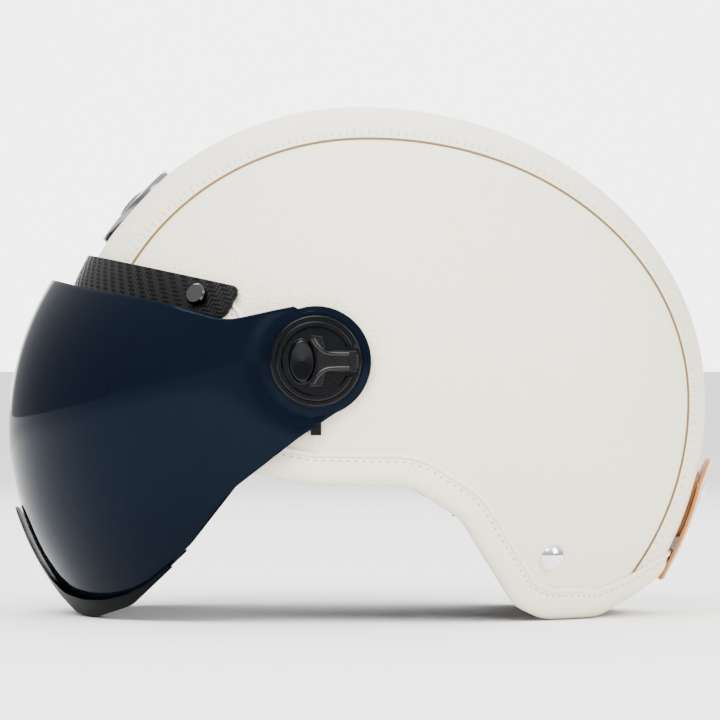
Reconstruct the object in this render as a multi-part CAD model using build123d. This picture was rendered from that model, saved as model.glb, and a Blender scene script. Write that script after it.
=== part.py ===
from build123d import *

import os
from functools import lru_cache
from math import atan2, cos, degrees, radians, sin, sqrt

# Open face motorcycle helmet with a bubble visor, in millimetres.
# -Y is the front, +X is the wearer's left, +Z is up. The helmet stands on its
# rear rim and the visor's chin at Z = 0, with the origin under its middle.

# ---- outer form: four ellipsoid quarters that meet smoothly ----
HALF_WIDTH = 114.0
FRONT_REACH = 131.6
REAR_REACH = 151.2
CROWN_HEIGHT = 128.5
LOWER_DEPTH = 148.0
CENTRE_Y = 1.1
CENTRE_Z = 93.2

# ---- walls, from the leather's face inwards ----
LEATHER = 1.4
SHELL_WALL = 3.4
FOAM_WALL = 21.6
LINING_WALL = 7.8
GLUE_LINE = 0.15
SHELL_DEPTH = LEATHER + GLUE_LINE
SHELL_INSIDE = SHELL_DEPTH + SHELL_WALL
FOAM_DEPTH = SHELL_INSIDE + GLUE_LINE
FOAM_INSIDE = FOAM_DEPTH + FOAM_WALL
LINING_DEPTH = FOAM_INSIDE + GLUE_LINE
LINING_INSIDE = LINING_DEPTH + LINING_WALL
SOFT_GAP = 0.3
FAR = 260.0

# ---- rim and brim, in the side view as (y, z) ----
BRIM_CORNER = (-60.0, 128.0)
BRIM_SLOPE = -0.22
EAR_FRONT_CORNER = (-55.0, 65.5)
EAR_BOTTOM_FRONT = (-20.0, 58.3)
EAR_BOTTOM_REAR = (22.0, 57.8)
RIM_BENDS = ((43.0, 44.0), (57.0, 21.0), (66.0, 6.5))
REST_FRONT = (79.0, 0.0)
REST_REAR = (103.0, 0.0)
NAPE = (131.0, 14.5)
NAPE_RISE = 0.44
RIM_RADII = (14.0, 14.0, 18.0, 22.0, 16.0, 24.0, 16.0, 14.0, 14.0, 24.0)

TRIM_HEIGHT = 12.5
TRIM_PROUD = 1.5
TRIM_LIP = 1.6
TRIM_WEB = 2.8
TRIM_INNER_HEIGHT = 8.0
FIT_GAP = 0.1

# ---- leather panels: half the centre panel's width along its length ----
PANEL_HALF_WIDTHS = ((-160.0, 56.0), (0.0, 55.0), (87.0, 48.0), (160.0, 37.0))
PIPING_WIDTH = 0.9
PIPING_PROUD = 0.5

# ---- brim strip and its rivets ----
STRIP_WIDTH = 15.0
STRIP_WALL = 2.4
STRIP_REAR = -48.5
STRIP_SLANT = 7.0
STRIP_FOOT = 0.3
STRIP_CORNERS = (4.0, 3.0)
STRIP_DEPTH = -TRIM_PROUD - 0.2
RIVET_Y = -65.0
RIVET_RADIUS = 4.5
RIVET_HEIGHT = 3.2
RIVET_SHANK = 1.6

# ---- rear anchor rivet ----
ANCHOR_Y = 82.3
ANCHOR_Z = 27.0
ANCHOR_RADIUS = 6.0
ANCHOR_HEIGHT = 3.4
RIVET_SEAT = 0.25

# ---- lining pads ----
CROWN_SPLIT_Z = 132.0
BROW_PAD_Y = -50.0
BROW_PAD_TOP = 166.0
NECK_PAD_Y = 74.0
PAD_GAP = 0.6

# ---- badge ----
BADGE_Y = -97.5
BADGE_LENGTH = 41.0
BADGE_WIDTH = 30.0
BADGE_PLATE = 1.4
BADGE_BOSS_HEIGHT = 3.2
BADGE_RIBS = 18

# ---- goggle-strap tab at the back ----
TAB_WIDTH = 32.0
TAB_BOTTOM = 15.0
TAB_TOP = 67.5
TAB_WALL = 2.0
TAB_LIFT = 1.9
PATCH_WALL = 1.3
PATCH_BOTTOM = 33.5
PATCH_TOP = 62.0
PATCH_WIDTH = 24.0
SNAP_Z = 54.0
SNAP_RADIUS = 6.0
SNAP_CAP_HEIGHT = 1.4
STUD_RADIUS = 3.4
STUD_HEIGHT = 1.9
SOCKET_RADIUS = 4.2

# ---- visor: circular sections that shrink to a flat ear at each side ----
PIVOT_Y = -17.2
PIVOT_Z = 110.3
VISOR_Y = -33.6
VISOR_Z = 82.0
VISOR_RADIUS = 119.0
VISOR_HALF_WIDTH = 118.0
VISOR_WALL = 2.2
EAR_FLAT_RADIUS = 30.0
EAR_RADIUS = 23.0
VISOR_STEPS = 16
LENS_TOP = ((-113.8, 138.2), (-86.6, 134.4), (-55.0, 126.8), (-26.0, 133.2))
LENS_TOP_SLOPE = -0.249
LENS_LOWER = ((-0.6, 94.4), (-24.0, 78.7), (-53.3, 55.8))
CHIN_OUTLINE = ((-77.9, 23.5), (-95.4, 6.8), (-113.0, 0.0))
CHIN_CREST = ((-149.0, 46.5), (-144.0, 34.0), (-138.6, 23.5), (-133.0, 15.4), (-126.5, 9.8))
CHIN_UPPER = ((-118.0, 8.0), (-108.5, 8.3), (-99.0, 10.8), (-90.0, 15.6), (-75.5, 27.5))
CHIN_BEVEL = ((-122.0, 1.2), (-129.5, 8.2))
CHIN_BEVEL_RISE = 0.2
CHIN_PROUD = 2.6
CREST_WIDTH = 36.0
CREST_ROUNDING = 11.0
CREST_FOOT = 24.0
CHIN_LIP = 1.6
CHIN_WEB = 2.6

# ---- pivot, built along X outwards ----
RUNNING_GAP = 0.05
EAR_GAP = 0.3
BASE_RADIUS = 20.5
BASE_FACE = VISOR_HALF_WIDTH - VISOR_WALL - EAR_GAP
TAIL_WIDTH = 4.4
TAIL_BOTTOM = 79.5
HUB_RADIUS = 12.0
HUB_TOP = VISOR_HALF_WIDTH + 1.25
COVER_FACE = VISOR_HALF_WIDTH + EAR_GAP
COVER_RADIUS = 19.1
COVER_RIM = COVER_FACE + 2.3
COVER_RING_RADIUS = 16.6
COVER_TOP = COVER_FACE + 3.4
RECESS_RADIUS = 12.4
RECESS_FLOOR = COVER_FACE + 2.5
PAD_Y = -5.8
PAD_HALF_LENGTH = 5.4
PAD_HALF_HEIGHT = 9.35
PAD_DISH = 0.7
LEVER_HALF = 4.35
LEVER_END = 17.0
LEVER_WALL = 1.2
LEVER_GRIP = 0.8
LEVER_GAP = 0.25
NOTCH_START = 11.2
NOTCH_HEIGHT = 2.6
NOTCH_DEPTH = 0.8
SPRING_WIRE = 0.35
SPRING_HALF = 1.5
SPRING_POCKET = 0.9
SPRING_FOLDS = 5
SPRING_LENGTH = 7.0
LUG_START = 5.0
LUG_WIDTH = 1.2
SCREW_RADIUS = 2.5
SCREW_HEAD_RADIUS = 4.2
SCREW_HEAD_HEIGHT = 2.6
SCREW_LENGTH = 19.0
HEX_FLATS = 3.0
NUT_FLANGE_RADIUS = 9.0
NUT_FLANGE = 1.8
NUT_BARREL_RADIUS = 4.0
NUT_BARREL_LENGTH = 6.0

# ---- chin strap: webbing on edge, looped behind the head space ----
WEB_WIDTH = 20.0
WEB_WALL = 1.5
WEB_GAP = 0.2
STRAP_ROUTE = ((84.6, 3.0), (73.5, 13.0), (66.5, 36.0), (54.5, 61.0))
STRAP_BENDS = (9.0, 24.0, 11.0)
CHORD_Y = 61.0
CHORD_Z = 50.0
HANGER_Z = 72.0
HANGER_Y = 3.0
HANGER_SIZE = 24.0
HANGER_WALL = 1.4
STRAP_DROP_START = 8.0
STRAP_DROP_END = 56.0
HOUSING_START = 6.0
HOUSING_END = 44.0
HOUSING_WALL = 11.0
HOUSING_WIDTH = 24.0
TONGUE_WALL = 2.4
TONGUE_WIDTH = 14.0
TONGUE_TIP = 33.0
TONGUE_GAP = 0.4
TONGUE_HEAD_START = -26.0
TONGUE_HEAD_LENGTH = 13.0
TONGUE_HEAD_WALL = 5.0
TOOTH_PITCH = 3.0
TOOTH_DEPTH = 0.7
TOOTH_COUNT = 8
PAWL_PIN_RADIUS = 1.0
PAWL_PIN_X = 38.5
PAWL_WALL = 3.4
PAWL_WIDTH = 15.0
PAWL_TIP = 4.0
PAWL_TOOTH = 4.0
ADJUSTER_LENGTH = 16.0
ADJUSTER_WALL = 4.2
ADJUSTER_MARGIN = 3.0
CHIN_PAD_START = -14.0
CHIN_PAD_END = 44.0
CHIN_PAD_WALL = 5.0


@lru_cache(maxsize=None)
def dome(depth):
    """The helmet's outer form as a solid, drawn in by depth on every half axis."""
    size = 100.0
    quarters = []
    for turn, reach in ((0, REAR_REACH), (180, FRONT_REACH)):
        for low, high, height in ((0, 90, CROWN_HEIGHT), (-90, 0, LOWER_DEPTH)):
            ball = Rot(0, 0, turn) * Sphere(size, low, high, 180, align=None)
            factors = [(axis - depth) / size for axis in (HALF_WIDTH, reach, height)]
            quarters.append(scale(ball, by=tuple(factors), about=(0, 0, 0)))
    return Pos(0, CENTRE_Y, CENTRE_Z) * (quarters[0] + quarters[1:])


def dome_x(y, z, depth=0.0):
    """Half width of the form at a place in the side view."""
    reach = (REAR_REACH if y > CENTRE_Y else FRONT_REACH) - depth
    height = (CROWN_HEIGHT if z > CENTRE_Z else LOWER_DEPTH) - depth
    rest = 1 - ((y - CENTRE_Y) / reach) ** 2 - ((z - CENTRE_Z) / height) ** 2
    return (HALF_WIDTH - depth) * sqrt(rest)


def rear_y(z, depth=0.0):
    """Where the form's back lies in the middle plane."""
    height = (CROWN_HEIGHT if z > CENTRE_Z else LOWER_DEPTH) - depth
    return CENTRE_Y + (REAR_REACH - depth) * sqrt(1 - ((z - CENTRE_Z) / height) ** 2)


def dome_normal(point):
    """Outward direction of the form at a point on it."""
    x, y, z = point
    reach = REAR_REACH if y > CENTRE_Y else FRONT_REACH
    height = CROWN_HEIGHT if z > CENTRE_Z else LOWER_DEPTH
    rise = Vector(x / HALF_WIDTH**2, (y - CENTRE_Y) / reach**2, (z - CENTRE_Z) / height**2)
    return rise.normalized()


def side_face(points, radii):
    """Flat face in the side view, from corner points (y, z) and their rounding."""
    corners = [(0, y, z) for y, z in points]
    outline = FilletPolyline(*corners, radius=radii, close=True)
    return Face(Wire(outline.edges()))


def across(face, half=FAR):
    """The face drawn out to both sides along X."""
    return extrude(face, amount=half, dir=(1, 0, 0), both=True)


def brim_z(y):
    """Height of the brim's lower line in the side view."""
    return BRIM_CORNER[1] + BRIM_SLOPE * (y - BRIM_CORNER[0])


@lru_cache(maxsize=None)
def opening(grow=0.0):
    """What the rim leaves open below and in front, grown by a margin."""
    points = [(-FAR, brim_z(-FAR)), BRIM_CORNER, EAR_FRONT_CORNER, EAR_BOTTOM_FRONT]
    points += [EAR_BOTTOM_REAR, *RIM_BENDS, REST_FRONT, REST_REAR, NAPE]
    points += [(FAR, NAPE[1] + NAPE_RISE * (FAR - NAPE[0])), (FAR, -FAR), (-FAR, -FAR)]
    face = side_face(points, [0.0, *RIM_RADII, 0.0, 0.0, 0.0])
    if grow:
        face = offset(face, amount=grow)
    return across(face)


@lru_cache(maxsize=None)
def centre_band(margin):
    """Upright band between the two panel seams, widened by margin on each side."""
    left = Spline(*[(half + margin, y) for y, half in PANEL_HALF_WIDTHS])
    right = Spline(*[(-half - margin, y) for y, half in PANEL_HALF_WIDTHS])
    front = Line(left @ 0, right @ 0)
    back = Line(left @ 1, right @ 1)
    return extrude(Face(Wire([left, back, right, front])), amount=FAR, both=True)


def half_space(side):
    """Everything on the left (+1) or on the right (-1)."""
    return Pos(side * FAR / 2, 0, 0) * Box(FAR, 2 * FAR, 2 * FAR)


def peg(point, direction, radius, start, end):
    """Round bar along a direction, from start to end measured from a point."""
    plane = Plane(origin=Vector(*point) + direction * start, z_dir=direction)
    return plane * Cylinder(radius, end - start, align=(Align.CENTER, Align.CENTER, Align.MIN))


def x_peg(radius, start, end, y=PIVOT_Y, z=PIVOT_Z):
    """Round bar along X."""
    return peg((0, y, z), Vector(1, 0, 0), radius, start, end)


def mirrored(shape):
    """The same piece for the other side."""
    return mirror(shape, about=Plane.YZ)


def write(name, shape):
    """One file for each sub-part."""
    export_step(shape, f"parts/{name}.step")


def write_pair(name, left):
    """A left piece and its mirror image."""
    write(f"{name}_left", left)
    write(f"{name}_right", mirrored(left))


# ---------------------------------------------------------------- fasteners
def rivet_place():
    """Middle of the left brim rivet on the leather's face, and its direction."""
    z = brim_z(RIVET_Y) + STRIP_WIDTH / 2
    point = (dome_x(RIVET_Y, z), RIVET_Y, z)
    return point, dome_normal(point)


def brim_rivet():
    """Left brim rivet: a straight-sided head and a shank into the shell."""
    point, out = rivet_place()
    seat = STRIP_WALL - STRIP_DEPTH
    head = peg(point, out, RIVET_RADIUS, seat, seat + RIVET_HEIGHT)
    head = chamfer(head.edges().sort_by(SortBy.DISTANCE, reverse=False)[-1], 0.6)
    return head + peg(point, out, RIVET_SHANK, -SHELL_INSIDE, seat + 1)


def brim_rivet_hole():
    """Room for the left rivet's shank."""
    point, out = rivet_place()
    return peg(point, out, RIVET_SHANK + RUNNING_GAP, -FOAM_DEPTH - 2, 12)


def anchor_place():
    """Middle of the left rear anchor rivet on the leather, and its direction."""
    point = (dome_x(ANCHOR_Y, ANCHOR_Z), ANCHOR_Y, ANCHOR_Z)
    return point, dome_normal(point)


def anchor_rivet():
    """Left rear anchor: a domed cap on a shank."""
    point, out = anchor_place()
    ball = (ANCHOR_RADIUS**2 + ANCHOR_HEIGHT**2) / (2 * ANCHOR_HEIGHT)
    centre = Vector(*point) + out * (ANCHOR_HEIGHT - ball + RIVET_SEAT)
    cap = Plane(origin=centre, z_dir=out) * Sphere(ball)
    cap = cap & peg(point, out, 2 * ANCHOR_RADIUS, RIVET_SEAT, 12)
    return cap + peg(point, out, RIVET_SHANK, -SHELL_INSIDE, 1)


def anchor_hole():
    """Room for the rear anchor's shank."""
    point, out = anchor_place()
    return peg(point, out, RIVET_SHANK + RUNNING_GAP, -FOAM_DEPTH - 2, 12)


# ---------------------------------------------------------------- shell and skins
def outer_shell():
    """Hard shell, with holes for the fasteners."""
    shell = dome(SHELL_DEPTH) - opening(TRIM_WEB) - dome(SHELL_INSIDE)
    holes = [brim_rivet_hole(), anchor_hole(), x_peg(NUT_BARREL_RADIUS + FIT_GAP, 90, 125)]
    for hole in holes:
        shell = shell - hole - mirrored(hole)
    return shell


def edge_trim():
    """Channel that wraps the shell's edge: outer flange, web and short inner flange."""
    trim = (dome(-TRIM_PROUD) & opening(TRIM_HEIGHT)) - opening() - dome(FOAM_DEPTH + TRIM_LIP)
    edge = dome(LEATHER) - opening(TRIM_WEB - FIT_GAP) - dome(FOAM_DEPTH)
    inner = dome(FOAM_DEPTH) - opening(TRIM_INNER_HEIGHT)
    trim = trim - edge - inner
    hole = brim_rivet_hole()
    return trim - hole - mirrored(hole)


def leather():
    """The whole skin before it is cut into panels."""
    skin = dome(0) - opening(TRIM_HEIGHT + FIT_GAP) - dome(LEATHER)
    screw = x_peg(SCREW_RADIUS + FIT_GAP, 90, 125)
    for hole in (brim_rivet_hole(), anchor_hole(), screw):
        skin = skin - hole - mirrored(hole)
    return skin


def panels():
    """Centre panel, left side panel and left piping."""
    skin = leather()
    half = PIPING_WIDTH / 2
    centre = skin & centre_band(-half - FIT_GAP / 2)
    side = (skin & half_space(1)) - centre_band(half + FIT_GAP / 2)
    cord = dome(-PIPING_PROUD) - opening(TRIM_HEIGHT + FIT_GAP) - dome(LEATHER * 0.7)
    cord = (cord & half_space(1)) & (centre_band(half) - centre_band(-half))
    return centre, side, cord


def brim_strip():
    """Woven-look strip along the brim, with slanted rear ends and rounded corners."""
    foot_end = STRIP_REAR - STRIP_SLANT
    top = STRIP_FOOT + STRIP_WIDTH
    points = [(-FAR, brim_z(-FAR) + STRIP_FOOT), (foot_end, brim_z(foot_end) + STRIP_FOOT)]
    points += [(STRIP_REAR, brim_z(STRIP_REAR) + top), (-FAR, brim_z(-FAR) + top)]
    band = across(side_face(points, [0.0, *STRIP_CORNERS, 0.0]))
    strip = (dome(STRIP_DEPTH - STRIP_WALL) & band) - dome(STRIP_DEPTH)
    strip = strip & (Pos(0, -FAR / 2, 0) * Box(2 * FAR, FAR, 4 * FAR))
    hole = brim_rivet_hole()
    return strip - hole - mirrored(hole)


# ---------------------------------------------------------------- liner and pads
def foam_liner():
    """Impact foam, with pockets for the T-nuts and the strap hangers."""
    foam = dome(FOAM_DEPTH) - opening(TRIM_INNER_HEIGHT + 2 * FIT_GAP) - dome(FOAM_INSIDE)
    nut_room = x_peg(NUT_FLANGE_RADIUS + FIT_GAP, 88, 125)
    screw_tip = x_peg(SCREW_RADIUS + 1, 80, 125)
    hanger_room = hanger_block(HANGER_SIZE + 2 * FIT_GAP) - dome(FOAM_INSIDE)
    hanger_room = hanger_room & dome(FOAM_INSIDE - HANGER_WALL - FIT_GAP)
    for room in (nut_room, screw_tip, hanger_room):
        foam = foam - room - mirrored(room)
    return foam


def zone(y_range, z_range):
    """Block over the helmet's whole width, between two places along Y and along Z."""
    (y_low, y_high), (z_low, z_high) = y_range, z_range
    middle = Pos(0, (y_low + y_high) / 2, (z_low + z_high) / 2)
    return middle * Box(2 * FAR, y_high - y_low, z_high - z_low)


def lining_pads():
    """Crown lining, brow pad, neck pad and the left side pad with its strap slot."""
    layer = dome(LINING_DEPTH) - opening(TRIM_INNER_HEIGHT + 3) - dome(LINING_INSIDE)
    brow = zone((-FAR, BROW_PAD_Y), (CROWN_SPLIT_Z, BROW_PAD_TOP))
    brow_room = zone((-FAR, BROW_PAD_Y + PAD_GAP), (0, BROW_PAD_TOP + PAD_GAP))
    crown = (layer & zone((-FAR, FAR), (CROWN_SPLIT_Z, FAR))) - brow_room
    low = (0, CROWN_SPLIT_Z - PAD_GAP)
    neck = layer & zone((NECK_PAD_Y + PAD_GAP, FAR), low)
    side = (layer & zone((-FAR, NECK_PAD_Y), low) & half_space(1)) - web_left(WEB_GAP * 2)
    return crown, layer & brow, neck, side


# ---------------------------------------------------------------- badge
def badge():
    """Oval plate that follows the forehead, with radial ribs, a rim and a low boss."""
    z = CENTRE_Z + CROWN_HEIGHT * sqrt(1 - ((BADGE_Y - CENTRE_Y) / FRONT_REACH) ** 2)
    out = dome_normal((0, BADGE_Y, z))
    plane = Plane(origin=(0, BADGE_Y, z), x_dir=(1, 0, 0), z_dir=out)
    width, length = BADGE_WIDTH / 2, BADGE_LENGTH / 2
    plate = extrude(plane * Ellipse(width, length), amount=12, both=True)
    rim = plate - extrude(plane * Ellipse(width - 1.6, length - 1.6), amount=13, both=True)
    ribs = Sketch()
    for step in range(BADGE_RIBS):
        ribs += Rot(0, 0, 180 * step / BADGE_RIBS) * Rectangle(2 * BADGE_LENGTH, 0.9)
    ribs = extrude(plane * (Ellipse(width - 1, length - 1) & ribs), amount=12, both=True)
    raised = (rim + ribs) & dome(-BADGE_PLATE - 0.7)
    boss_size = (width * 0.42, length * 0.42)
    boss = scale(Sphere(10), by=(boss_size[0] / 10, boss_size[1] / 10, BADGE_BOSS_HEIGHT / 10))
    boss = plane * boss
    return ((plate & dome(-BADGE_PLATE)) + raised + boss) - dome(0)


# ---------------------------------------------------------------- goggle-strap tab
def back_outline(width, bottom, top, radius):
    """Rounded outline seen from behind, drawn out through the back of the helmet."""
    plane = Plane(origin=(0, 100, (bottom + top) / 2), x_dir=(1, 0, 0), z_dir=(0, 1, 0))
    outline = RectangleRounded(width, top - bottom, radius)
    return extrude(plane * outline, amount=80)


def snap_direction():
    """Middle of the snap on the leather's face, and its direction."""
    point = (0, rear_y(SNAP_Z), SNAP_Z)
    return point, dome_normal(point)


def tab_patch():
    """Leather patch on the centre panel, under the tab."""
    body = back_outline(PATCH_WIDTH, PATCH_BOTTOM, PATCH_TOP, 5.0)
    return (body & dome(-PATCH_WALL)) - dome(-0.02)


def snap_stud():
    """Metal stud on the patch that the tab's snap closes over."""
    point, out = snap_direction()
    return peg(point, out, STUD_RADIUS, PATCH_WALL, PATCH_WALL + STUD_HEIGHT)


def goggle_tab():
    """Leather tab that stands off the shell, with the snap's socket."""
    body = back_outline(TAB_WIDTH, TAB_BOTTOM, TAB_TOP, 9.0)
    tab = (body & dome(-TAB_LIFT - TAB_WALL)) - dome(-TAB_LIFT)
    point, out = snap_direction()
    return tab - peg(point, out, SOCKET_RADIUS, 0, 12)


def snap_cap():
    """Snap cap on the tab: a low dome with a socket ring round the stud."""
    point, out = snap_direction()
    outside = TAB_LIFT + TAB_WALL
    ball = (SNAP_RADIUS**2 + SNAP_CAP_HEIGHT**2) / (2 * SNAP_CAP_HEIGHT)
    centre = Vector(*point) + out * (outside + 0.1 + SNAP_CAP_HEIGHT - ball)
    cap = Plane(origin=centre, z_dir=out) * Sphere(ball)
    cap = cap & peg(point, out, 2 * SNAP_RADIUS, outside + 0.1, 12)
    ring = peg(point, out, SOCKET_RADIUS - FIT_GAP, TAB_LIFT + 0.1, outside + 0.5)
    ring = ring - peg(point, out, STUD_RADIUS + 0.15, 0, outside)
    return cap + ring


# ---------------------------------------------------------------- visor
@lru_cache(maxsize=None)
def visor_form(grow):
    """Solid bubble of circular sections between two flat ears, grown outwards."""
    sections = []
    for step in range(VISOR_STEPS + 1):
        turn = radians(180 * step / VISOR_STEPS - 90)
        share = max(cos(turn), 0)
        x = (VISOR_HALF_WIDTH + grow) * sin(turn)
        y = PIVOT_Y + (VISOR_Y - PIVOT_Y) * share
        z = PIVOT_Z + (VISOR_Z - PIVOT_Z) * share
        radius = EAR_FLAT_RADIUS + (VISOR_RADIUS + grow - EAR_FLAT_RADIUS) * share
        plane = Plane(origin=(x, y, z), x_dir=(0, 1, 0), z_dir=(1, 0, 0))
        sections.append(plane * Circle(radius))
    return loft(sections)


def visor_lens():
    """Bubble lens with a round ear and a hub hole at each side."""
    front_top = (-FAR, LENS_TOP[0][1] + LENS_TOP_SLOPE * (-FAR - LENS_TOP[0][0]))
    lower = [(y + 1.5, z + CHIN_WEB) for y, z in CHIN_OUTLINE]
    points = [front_top, *LENS_TOP, (PIVOT_Y, PIVOT_Z), *LENS_LOWER, *lower]
    points.append((-FAR, lower[-1][1]))
    radii = [0.0, 90.0, 90.0, 24.0, 0.0, 0.0, 0.0, 60.0, 30.0, 12.0, 12.0, 12.0, 0.0]
    profile = side_face(points, radii)
    ear = Plane(origin=(0, PIVOT_Y, PIVOT_Z), x_dir=(0, 1, 0), z_dir=(1, 0, 0)) * Circle(EAR_RADIUS)
    cut = across(profile) + across(ear)
    lens = (visor_form(0) - visor_form(-VISOR_WALL)) & cut
    return lens - x_peg(HUB_RADIUS + RUNNING_GAP, -FAR, FAR)


def crest_outline():
    """What the front view leaves of the chin trim: its low part and a rounded crest."""
    top = CHIN_CREST[0][1]
    crest = RectangleRounded(CREST_WIDTH, 2 * top, CREST_ROUNDING)
    crest = extrude(Plane.XZ * crest, amount=FAR)
    return zone((-FAR, FAR), (-1, CREST_FOOT)) + crest


def chin_trim(lens):
    """Channel clipped over the lens's lower edge, with a low crest in the middle."""
    points = [(-FAR, CHIN_CREST[0][1]), *CHIN_CREST, *CHIN_UPPER, *CHIN_OUTLINE, *CHIN_BEVEL]
    last = CHIN_BEVEL[-1]
    points.append((-FAR, last[1] + CHIN_BEVEL_RISE * (last[0] + FAR)))
    radii = [0.0, 2.0, 30.0, 20.0, 20.0, 12.0, 12.0, 20.0, 20.0, 12.0, 0.0, 0.0, 12.0, 10.0, 6.0]
    radii += [4.0, 0.0]
    band = across(side_face(points, radii))
    channel = (visor_form(CHIN_PROUD) & band) - visor_form(-VISOR_WALL - CHIN_LIP)
    return (channel & crest_outline()) - lens


# ---------------------------------------------------------------- pivot
def pivot_plane(x):
    """Plane across the pivot axis, with its first direction to the rear."""
    return Plane(origin=(x, PIVOT_Y, PIVOT_Z), x_dir=(0, 1, 0), z_dir=(1, 0, 0))


def pivot_slab(outline, start, end):
    """A flat outline in (rearwards, up) drawn along X between two faces."""
    return extrude(pivot_plane(start) * outline, amount=end - start)


def pivot_base():
    """Base plate on the leather, with its hub, tail tab and screw hole."""
    tail = Pos(0, (TAIL_BOTTOM - PIVOT_Z) / 2) * Rectangle(TAIL_WIDTH, PIVOT_Z - TAIL_BOTTOM)
    plate = pivot_slab(Circle(BASE_RADIUS) + tail, 100, BASE_FACE) - dome(-0.02)
    hub = x_peg(HUB_RADIUS, BASE_FACE - 0.5, HUB_TOP)
    head_room = x_peg(SCREW_HEAD_RADIUS + FIT_GAP, HUB_TOP - SCREW_HEAD_HEIGHT, HUB_TOP + 1)
    return plate + hub - head_room - x_peg(SCREW_RADIUS + FIT_GAP, 100, 125)


def lever_outline(grow=0.0, travel=0.0):
    """Y shape of the release lever: a bar to the rear and two arms round the pad."""
    bar = Pos((LEVER_END + travel) / 2 + 0.3, 0)
    bar = bar * Rectangle(LEVER_END + travel - 0.6 + 2 * grow, 2 * (LEVER_HALF + grow))
    upper = [(0.6, 0), (5.2, 0), (2.6, 10.4), (-2.2, 10.8), (-2.6, 9.0), (0.6, 8.2)]
    lower = [(y, -z) for y, z in reversed(upper)]
    return bar + Polygon(*upper, align=None) + Polygon(*lower, align=None)


def spring_pocket(margin=0.0):
    """Room under the bar for the return spring and the lever's lug."""
    start = LUG_START - 0.3
    end = LUG_START + LUG_WIDTH + SPRING_LENGTH + 0.3
    outline = Pos((start + end) / 2, 0) * Rectangle(end - start, 2 * (SPRING_HALF + 0.3 + margin))
    return pivot_slab(outline, RECESS_FLOOR - SPRING_POCKET, RECESS_FLOOR + 0.1)


def pivot_cover():
    """Stepped round cover with a recess, a dished oval pad and the lever's slot."""
    body = pivot_slab(Circle(COVER_RADIUS), COVER_FACE, COVER_RIM)
    body = chamfer(body.faces().sort_by(Axis.X)[-1].edges(), 0.7)
    body += pivot_slab(Circle(COVER_RING_RADIUS), COVER_RIM - 0.2, COVER_TOP)
    body -= pivot_slab(Circle(RECESS_RADIUS), RECESS_FLOOR, 130)
    oval = Pos(PAD_Y, 0) * Ellipse(PAD_HALF_LENGTH, PAD_HALF_HEIGHT)
    pad = pivot_slab(oval, RECESS_FLOOR - 0.2, COVER_TOP)
    dish = scale(Sphere(10), by=(PAD_DISH / 10, PAD_HALF_LENGTH * 0.085, PAD_HALF_HEIGHT * 0.085))
    pad -= Pos(COVER_TOP, PIVOT_Y + PAD_Y, PIVOT_Z) * dish
    body += pad
    slot_end = COVER_RADIUS + 2
    slot = Pos((4 + slot_end) / 2, 0) * Rectangle(slot_end - 4, 2 * (LEVER_HALF + LEVER_GAP))
    body -= pivot_slab(slot, RECESS_FLOOR, 130)
    for side in (-1, 1):
        middle = side * (LEVER_HALF + LEVER_GAP + NOTCH_HEIGHT / 2)
        length = LEVER_END - NOTCH_START
        notch = Pos(NOTCH_START + length / 2, middle) * Rectangle(length, NOTCH_HEIGHT)
        body -= pivot_slab(notch, COVER_TOP - NOTCH_DEPTH, 130)
    body -= x_peg(HUB_RADIUS + RUNNING_GAP, 100, HUB_TOP + FIT_GAP)
    return body - spring_pocket()


def release_lever():
    """Y-shaped lever with a raised grip at its rear end and a lug for the spring."""
    low = RECESS_FLOOR + 0.05
    lever = pivot_slab(lever_outline(), low, low + LEVER_WALL)
    grip = Pos(LEVER_END - 1.6, 0) * Rectangle(3.2, 2 * LEVER_HALF)
    lever += pivot_slab(grip, low, low + LEVER_WALL + LEVER_GRIP)
    lug = Pos(LUG_START + LUG_WIDTH / 2, 0) * Rectangle(LUG_WIDTH, 2 * SPRING_HALF)
    return lever + pivot_slab(lug, RECESS_FLOOR - SPRING_POCKET + 0.1, low + 0.1)


def return_spring():
    """Folded leaf between the lever's lug and the end of the pocket."""
    start = LUG_START + LUG_WIDTH + 0.1
    pitch = (SPRING_LENGTH - 0.2) / SPRING_FOLDS
    half = SPRING_HALF - 0.2
    points = [(start + SPRING_WIRE / 2, -half)]
    for fold in range(SPRING_FOLDS):
        side = 1 if fold % 2 == 0 else -1
        points.append((start + pitch * (fold + 0.5), side * half))
    points.append((start + SPRING_LENGTH - 0.4, -half))
    path = Polyline(*points)
    leaf = offset(path, amount=SPRING_WIRE / 2, side=Side.BOTH)
    if not leaf.faces():
        leaf = make_face(leaf.edges())
    low = RECESS_FLOOR - SPRING_POCKET + 0.05
    return pivot_slab(leaf, low, low + SPRING_POCKET - 0.15)


def pivot_screw():
    """Hex-socket screw under the cover."""
    top = HUB_TOP - 0.05
    screw = x_peg(SCREW_HEAD_RADIUS, top - SCREW_HEAD_HEIGHT + 0.05, top)
    screw += x_peg(SCREW_RADIUS, top - SCREW_LENGTH, top - SCREW_HEAD_HEIGHT + 0.1)
    key = RegularPolygon(HEX_FLATS / 2, 6, major_radius=False)
    return screw - pivot_slab(key, top - 1.6, top + 1)


def t_nut():
    """Captive nut whose flange bears on the inside of the shell."""
    inside = dome_x(PIVOT_Y, PIVOT_Z, SHELL_INSIDE)
    flange = x_peg(NUT_FLANGE_RADIUS, inside - NUT_FLANGE - 0.8, inside + 2)
    flange = flange & dome(SHELL_INSIDE + 0.02)
    barrel = x_peg(NUT_BARREL_RADIUS, inside - NUT_BARREL_LENGTH, inside + SHELL_WALL - 1.0)
    return flange + barrel - x_peg(SCREW_RADIUS + RUNNING_GAP, 80, 125)


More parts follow.
